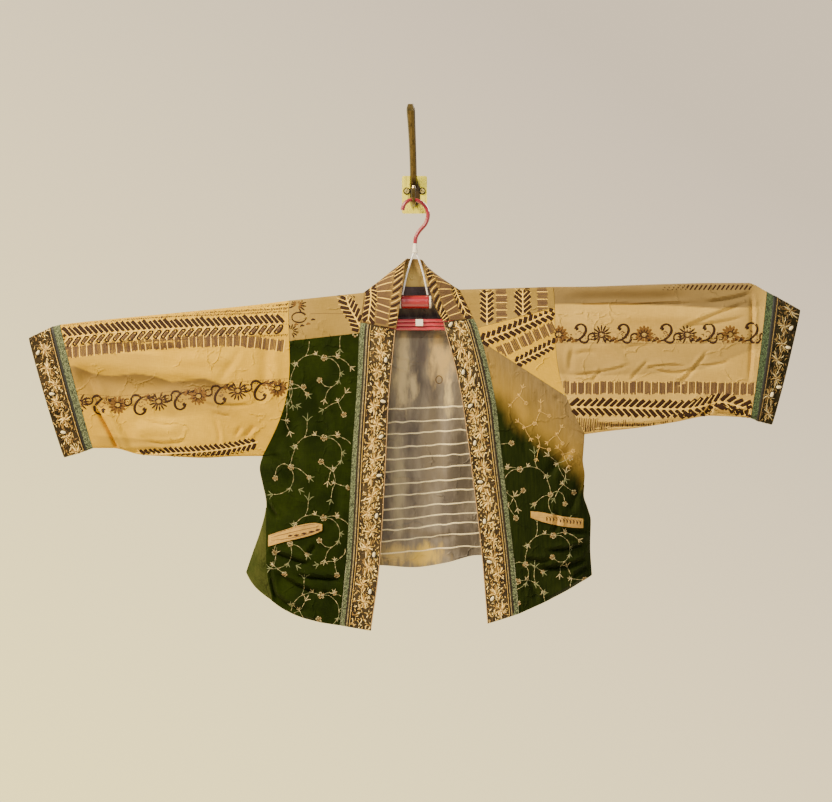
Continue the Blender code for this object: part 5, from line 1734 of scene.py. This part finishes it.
def dress_welts():
    """The pocket welts: pale silk strips sewn over the slits, with small dark stitches."""
    for side in (LEFT, RIGHT):
        at = seen_from(bpy.data.objects[side_name("front", side) + "_cloth"], FROM_FRONT)
        table = sorted((row.out, row.z, row.half_height) for row in WELT[side])
        rows = []
        for out in spread(table[0][0], table[-1][0], 30):
            z, half = spline(table, out)
            rows.append([at(side * out, z + half * up)[0] for up in spread(1, -1, 6)])
        grid = np.array([[point[:] for point in row] for row in rows])
        grid[:, :, 1] = np.minimum(grid[:, :, 1], np.median(grid[:, :, 1], axis=1, keepdims=True) + 1)
        grid[:, :, 1] -= WELT_LIFT - WALL / 2
        grid[:, 1:-1, 1] -= 0.5
        grid = facing(grid, TO_VIEWER)
        name = side_name("welt", side)
        made = hang(name + "_cloth", grid, PEACH, name, "welt_silk",
                    [side_name("front", side) + "_cloth"])
        work = Work(seen_from(made, FROM_FRONT))
        chance = Random(81 + side)
        if side == LEFT:
            for x, z in ((-206, -567), (-196, -566), (-184, -563), (-172, -560), (-161, -557)):
                work.stroke([(x, z), (x + 9 * chance.uniform(0.7, 1.1), z + 1.8)], (2.2, 4.4, 1.6),
                            0.4, 1)
            for rise, bend in ((6.0, 2.6), (-5.0, -2.0), (1.5, 0.6)):
                line = [(x, -571 + 0.24 * (x + 235) + rise * (1 - ((x + 190) / 52) ** 2) + bend)
                        for x in range(-234, -150, 6)]
                work.stroke(line, (0.7, 1.3, 0.8, 1.2, 0.6), 0.2, 2)
        else:
            for k in range(11):
                x = 214 + 5.6 * k
                z = -537 - 0.14 * (x - 208) + chance.uniform(-0.6, 0.6)
                work.stroke([(x, z + 3.4), (x + 1.8, z), (x + 1.2, z - 3.4)], (1.4, 3.4, 1.6), 0.3, 1)
                work.stroke([(x + 2.6, z + 4), (x + 4, z + 2.4)], (1.2, 1.0), 0.25, 2)
        for out in np.arange(table[0][0] + 3, table[-1][0] - 2, 6):
            z, half = spline(table, out)
            for up in (0.86, -0.86):
                work.stroke([(side * out, z + half * up), (side * (out + 3.2), z + half * up)],
                            (0.5, 0.6), 0.25, 0)
        work.sew(name + "_stitches", [SEWING, DARK_THREAD, PRINTS[TICK]], "welt_silk")


SCREW_OUT, SCREW_UP = 13, 6
COLLAR_Y, COLLAR_RADIUS, COLLAR_THICKNESS = -4.7, 5.0, 1.0
SLOT_Y, SLOT_SIZE = -5.95, (0.9, 0.3, 6.6)


def dress_screws():
    """A rolled collar round each screw of the wall plate, and the slot in its head."""
    for side, tilt in ((LEFT, 0.5), (RIGHT, -0.9)):
        x, z = side * SCREW_OUT * MM, SCREW_UP * MM
        bpy.ops.object.select_all(action="DESELECT")
        bpy.ops.mesh.primitive_torus_add(
            major_segments=40, minor_segments=10, major_radius=COLLAR_RADIUS * MM,
            minor_radius=COLLAR_THICKNESS * MM, location=(x, COLLAR_Y * MM, z), rotation=(pi / 2, 0, 0))
        collar = bpy.context.object
        collar.name = side_name("screw_collar", side)
        bpy.ops.mesh.primitive_cube_add(size=1, location=(x, SLOT_Y * MM, z), rotation=(0, tilt, 0))
        slot = bpy.context.object
        slot.name = side_name("screw_slot", side)
        slot.scale = [length * MM for length in SLOT_SIZE]
        for made in (collar, slot):
            bpy.ops.object.select_all(action="DESELECT")
            made.select_set(True)
            bpy.context.view_layer.objects.active = made
            bpy.ops.object.transform_apply(location=True, rotation=True, scale=True)
            made.data.materials.append(DARK_METAL)
            if made == collar:
                bpy.ops.object.shade_smooth()
            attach(made, "root")


FLOOR_SIZE, FLOOR_Y, FLOOR_Z = (7, 5.2), -2.3, -1.45
LAMPS_AIM = (0, 0, -0.35)
LENS, SENSOR = 56.57, 36
CAMERA_AT = (0.0025, -2.2, -0.3466)  # level with the jacket's middle


def lay_floor():
    """A plain pale floor far below the jacket."""
    bpy.ops.mesh.primitive_plane_add(size=1, location=(0, FLOOR_Y, FLOOR_Z))
    floor = bpy.context.object
    floor.name = "floor"
    floor.scale = (*FLOOR_SIZE, 1)
    bpy.ops.object.transform_apply(location=True, rotation=True, scale=True)
    made, tree, shader = finish("pale painted floor", 0.9)
    grain = noise(tree, in_mm(tree), 0.004, 4.0)
    coloured(tree, shader, two_tone(tree, grain, "#DCD3C2", "#E6DDCD"))
    floor.data.materials.append(made)


def light_room():
    """Soft light from all round: warm and bright behind the jacket, dim behind the viewer."""
    world = bpy.data.worlds.new("pale room")
    bpy.context.scene.world = world
    world.use_nodes = True
    tree = world.node_tree
    parts = add(tree, "SeparateXYZ", add(tree, "TexCoord")).node.outputs
    level = add(tree, "Math", parts["X"], -0.9, WALL_LIGHT, operation="MULTIPLY_ADD")
    level = add(tree, "Math", parts["Z"], -1.3, level, operation="MULTIPLY_ADD")
    level = ramp(tree, level, 1.05, 2.5, 1.05, 2.5)
    tint = ramp(tree, level, 1.1, 2.1)
    tint = add(tree, "MixRGB", tint, linear("#FFE9C9"), linear("#FFEA9E"))
    beyond = ramp(tree, parts["Y"], -0.3, 0.6, 0.0, 1.0, "SMOOTHSTEP")
    tint = add(tree, "MixRGB", beyond, linear("#E6E4E6"), tint)
    behind = ramp(tree, beyond, 0.0, 1.0, ROOM_SHARE, 1.0)
    back = tree.nodes["Background"]
    tree.links.new(tint, back.inputs["Color"])
    tree.links.new(times(tree, level, behind), back.inputs["Strength"])


def set_lamps():
    """Four soft lamps that look at the jacket."""
    for name, place, size, power, tint in LAMPS:
        data = bpy.data.lights.new(name, "AREA")
        data.shape = "RECTANGLE"
        data.size, data.size_y = size
        data.energy = power
        data.color = tint
        lamp = bpy.data.objects.new(name, data)
        lamp.location = place
        aim = Vector(LAMPS_AIM) - Vector(place)
        lamp.rotation_euler = aim.to_track_quat("-Z", "Y").to_euler()
        bpy.context.scene.collection.objects.link(lamp)


def set_camera():
    """A camera that looks straight at the wall."""
    data = bpy.data.cameras.new("camera")
    data.sensor_width = SENSOR
    data.lens = LENS
    camera = bpy.data.objects.new("camera", data)
    camera.location = CAMERA_AT
    camera.rotation_euler = (pi / 2, 0, 0)
    bpy.context.scene.collection.objects.link(camera)
    bpy.context.scene.camera = camera


WALL_LIGHT = 1.5  # how bright the pale side behind the jacket is
ROOM_SHARE = 0.38  # the side behind the viewer, against it
# Name, place, size, power and tint of each lamp, in metres and watts.
LAMPS = [
    ("key", (-2.1, -1.5, 1.7), (0.7, 0.7), 240, (1.0, 0.85, 0.6)),
    ("fill", (2.2, -2.2, 0.2), (1.8, 1.8), 12, (1.0, 0.93, 0.8)),
    ("strip", (0.1, -1.7, 0.9), (1.8, 0.14), 22, (1.0, 0.95, 0.86)),
    ("behind", (1.6, 2.2, 1.4), (1.2, 1.2), 60, (1.0, 0.9, 0.72)),
]
LINING_LIFT = WALL + SEAM_GAP  # how far the inner silk lies in front of the back
FACING_HALF = 44  # half the width of the facing inside the neck
# Height of each cream stripe inside the back, and how far it rises to the right.
STRIPES = [
    (-361, 6), (-383, 7), (-403, 9), (-425, 9), (-445, 11), (-465, 12), (-487, 12), (-506, 13),
    (-528, 14), (-546, 14), (-563, 15), (-581, 15), (-601, 13),
]
# The clouds where the inner silk took less dye or more, and one dark band of painted shadow under the
# hanger's bars: middle, reach, colour.
CLOUDS = [
    ((74, -470), (17, 74), "#544B3E"), ((80, -586), (22, 24), "#50473A"),
    ((-20, -288), (12, 50), "#C6B080"), ((46, -276), (17, 30), "#CBAC6E"),
    ((13, -262), (7, 22), "#64594F"), ((-3, -316), (7, 16), "#C4AE80"),
    # The second cloud on the next line, dark mauve under the hanger's bars, is painted shadow.
    ((57, -344), (6, 20), "#C2AC76"), ((4, -214), (60, 12), "#3E3337"),
    ((14, -604), (30, 14), "#D0AE50"), ((-34, -600), (22, 13), "#C2A562"),
    ((30, -430), (15, 60), "#766A56"), ((-26, -490), (9, 60), "#A09373"),
]
# The threads of the cuffs' filling leaves, and the share of its places that such a leaf takes. The right
# cuff's darker threads and fewer leaves are painted shade.
CUFF_TONES = {LEFT: (0, 0, 1, 2, 2, 3, 3), RIGHT: (0, 2, 2, 3, 3, 3)}
CUFF_SHARE = {LEFT: 0.7, RIGHT: 0.45}
# Beads: (x, z) on the cuffs, and across and along on the bands.
CUFF_BEADS = {
    LEFT: [(-621, -268), (-598, -335), (-580, -398)],
    RIGHT: [(616, -228), (610, -259), (595, -324), (585, -337)],
}
BAND_BEADS = {
    LEFT: [(11, 54), (11, 121), (11, 183), (11, 247), (11, 311), (11, 371), (11, 431)],
    RIGHT: [(11, 8), (12, 76), (12, 138), (12, 204), (12, 266), (12, 330), (12, 394), (12, 456)],
}

# The last colour of each print silk is what its marked places turn to: painted shade on the sleeves,
# painted light on the neck band; the yoke has no marks.
SILK = {
    LEFT: print_silk("block-printed tan silk, left", "#C29726", "#D2A72F", "#785F34"),
    RIGHT: print_silk("block-printed tan silk, right", "#B99546", "#CAA653", "#6A583A"),
}
YOKE_SILK = print_silk("block-printed tan silk, yoke", "#8C7236", "#9C8042", "#6E5D3A")
# Its last colour, on the inner face near the nape, is the facing's ochre lightened as painted light.
NECK_SILK = print_silk("block-printed tan silk, neck band", "#6A5430", "#7C633A", "#C8AC64")
GREEN = crepe("moss green silk crepe", "#0F1A03", "#1C2706")
OLIVE = crepe("olive silk crepe", "#2C3512", "#434620")
OMBRE = ombre_crepe()
INNER = inner_silk()
NECK_FACING = crepe("dark mauve silk facing", "#463C3E", "#625452")
BRAID = braid_finish("sage green cotton braid", "#868E62", "#464E38")
CUFF_BRAID = {LEFT: BRAID, RIGHT: braid_finish("dark green cotton braid", "#5C6E48", "#33442C")}
PIPING = piping_finish()
BROCADE = crepe("brown brocade ground", "#28211A", "#493D2A", 0.7)
CUFF_BROCADE = {
    LEFT: crepe("dark brown brocade ground", "#211A11", "#3E3220", 0.7),
    RIGHT: crepe("blackish green brocade ground", "#17150C", "#2C2719", 0.7),
}
PEACH = crepe("peach silk", "#AA8442", "#C69C4C", 0.6)
PRINTS = [flat_thread(name, code, 0.7, 0.0) for name, code in (
    ("dark brown block print", "#301E11"),
    ("cream resist line", "#EEC254"),
    ("soft brown block print", "#5E4730"),
    ("golden brown block print", "#6A4A20"),
)]
THREADS = [flat_thread(name, code, 0.5, 0.04) for name, code in (
    ("beige embroidery thread", "#B5A576"),
    ("grey green embroidery thread", "#7A7D55"),
    ("peach embroidery thread", "#AE8F5C"),
)]
GOLD_THREAD = flat_thread("worn gold embroidery thread", "#C8A45A", 0.45, 0.04)
PETALS = [
    flat_thread("gold brocade thread", "#CFAA56", 0.45, 0.06),
    flat_thread("cream brocade thread", "#FFE08A", 0.45, 0.06),
    flat_thread("ochre brocade thread", "#98743A", 0.45, 0.08),
    flat_thread("dark brocade thread", "#5A482C", 0.5, 0.05),
    flat_thread("tan edge cord", "#B08E5E", 0.6, 0.05),
    flat_thread("dark edge thread", "#2A2118", 0.6, 0.05),
]
# Darker copies of the brocade threads for the right cuff: painted shade.
PETALS_IN_PAINTED_SHADE = [flat_thread(name, code, 0.5, 0.05) for name, code in (
    ("gold brocade thread in painted shade", "#947C46"),
    ("cream brocade thread in painted shade", "#BCAA78"),
    ("ochre brocade thread in painted shade", "#6C542E"),
    ("dark brocade thread in painted shade", "#332A1C"),
)] + PETALS[4:]
STRIPE = flat_thread("cream resist stripe", "#EBD9A8", 0.7)
SEWING = flat_thread("peach sewing thread", "#B98F62", 0.6)
DARK_THREAD = flat_thread("dark brown sewing thread", "#3A2418", 0.6)
BEAD = flat_thread("pearl bead", "#EAD9A6", 0.22, 0.0, 0.03)
DARK_METAL = flat_thread("dark tarnish round the screws", "#241B0C", 0.6, 0.0)
HARD_FINISHES = [
    (aged_brass("cast brass plate", "#FFF04C", "#3E2E0E", 0.22, 0.3), ["hook_plate"]),
    (aged_brass("turned brass screws", "#D2BE6A", "#6A5A2C", 0.25, 0.6),
     ["hook_screw_left", "hook_screw_right"]),
    (aged_brass("rubbed brass prong", "#64542C", "#2A200E", 0.2, 0.85, 0.05),
     ["hook_upper_prong", "hook_lower_prong"]),
    (coated("red dipped plastic on wire", "#8A0A20", 0.3, 0.4, 0.1),
     ["hanger_hook", "hanger_arm_left", "hanger_arm_right", "hanger_post_left",
      "hanger_post_right"]),
    # The bars' red is lighter than the tube's: painted highlight.
    (coated("red enamelled bars", "#B8323E", 0.16, 1.0, 0.12),
     ["hanger_bar_upper", "hanger_bar_middle", "hanger_bar_lower"]),
    (coated("red moulded plastic tube", "#9A1A22", 0.14, 1.0, 0.12), ["hanger_tube"]),
    (coated("ivory moulded plastic", "#EDE4CC", 0.4, 0.2),
     ["hanger_neck", "hanger_cap_left", "hanger_cap_right", "hanger_clip"]),
    (coated("white coated wire", "#EDE8E0", 0.3, 0.3), ["hanger_strut_left", "hanger_strut_right"]),
]

for side in (LEFT, RIGHT):
    dress_sleeve(side)
    dress_cuff(side)
dress_left_yoke()
dress_left_front()
dress_chest_patch(dress_right_yoke())
dress_right_front()
dress_lining(dress_back())
dress_side_seams()
dress_band(LEFT)
dress_band(RIGHT)
dress_neck()
dress_welts()
dress_screws()
for material, names in HARD_FINISHES:
    for name in names:
        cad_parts[name].material_slots[0].material = material
lay_floor()
light_room()
set_lamps()
set_camera()
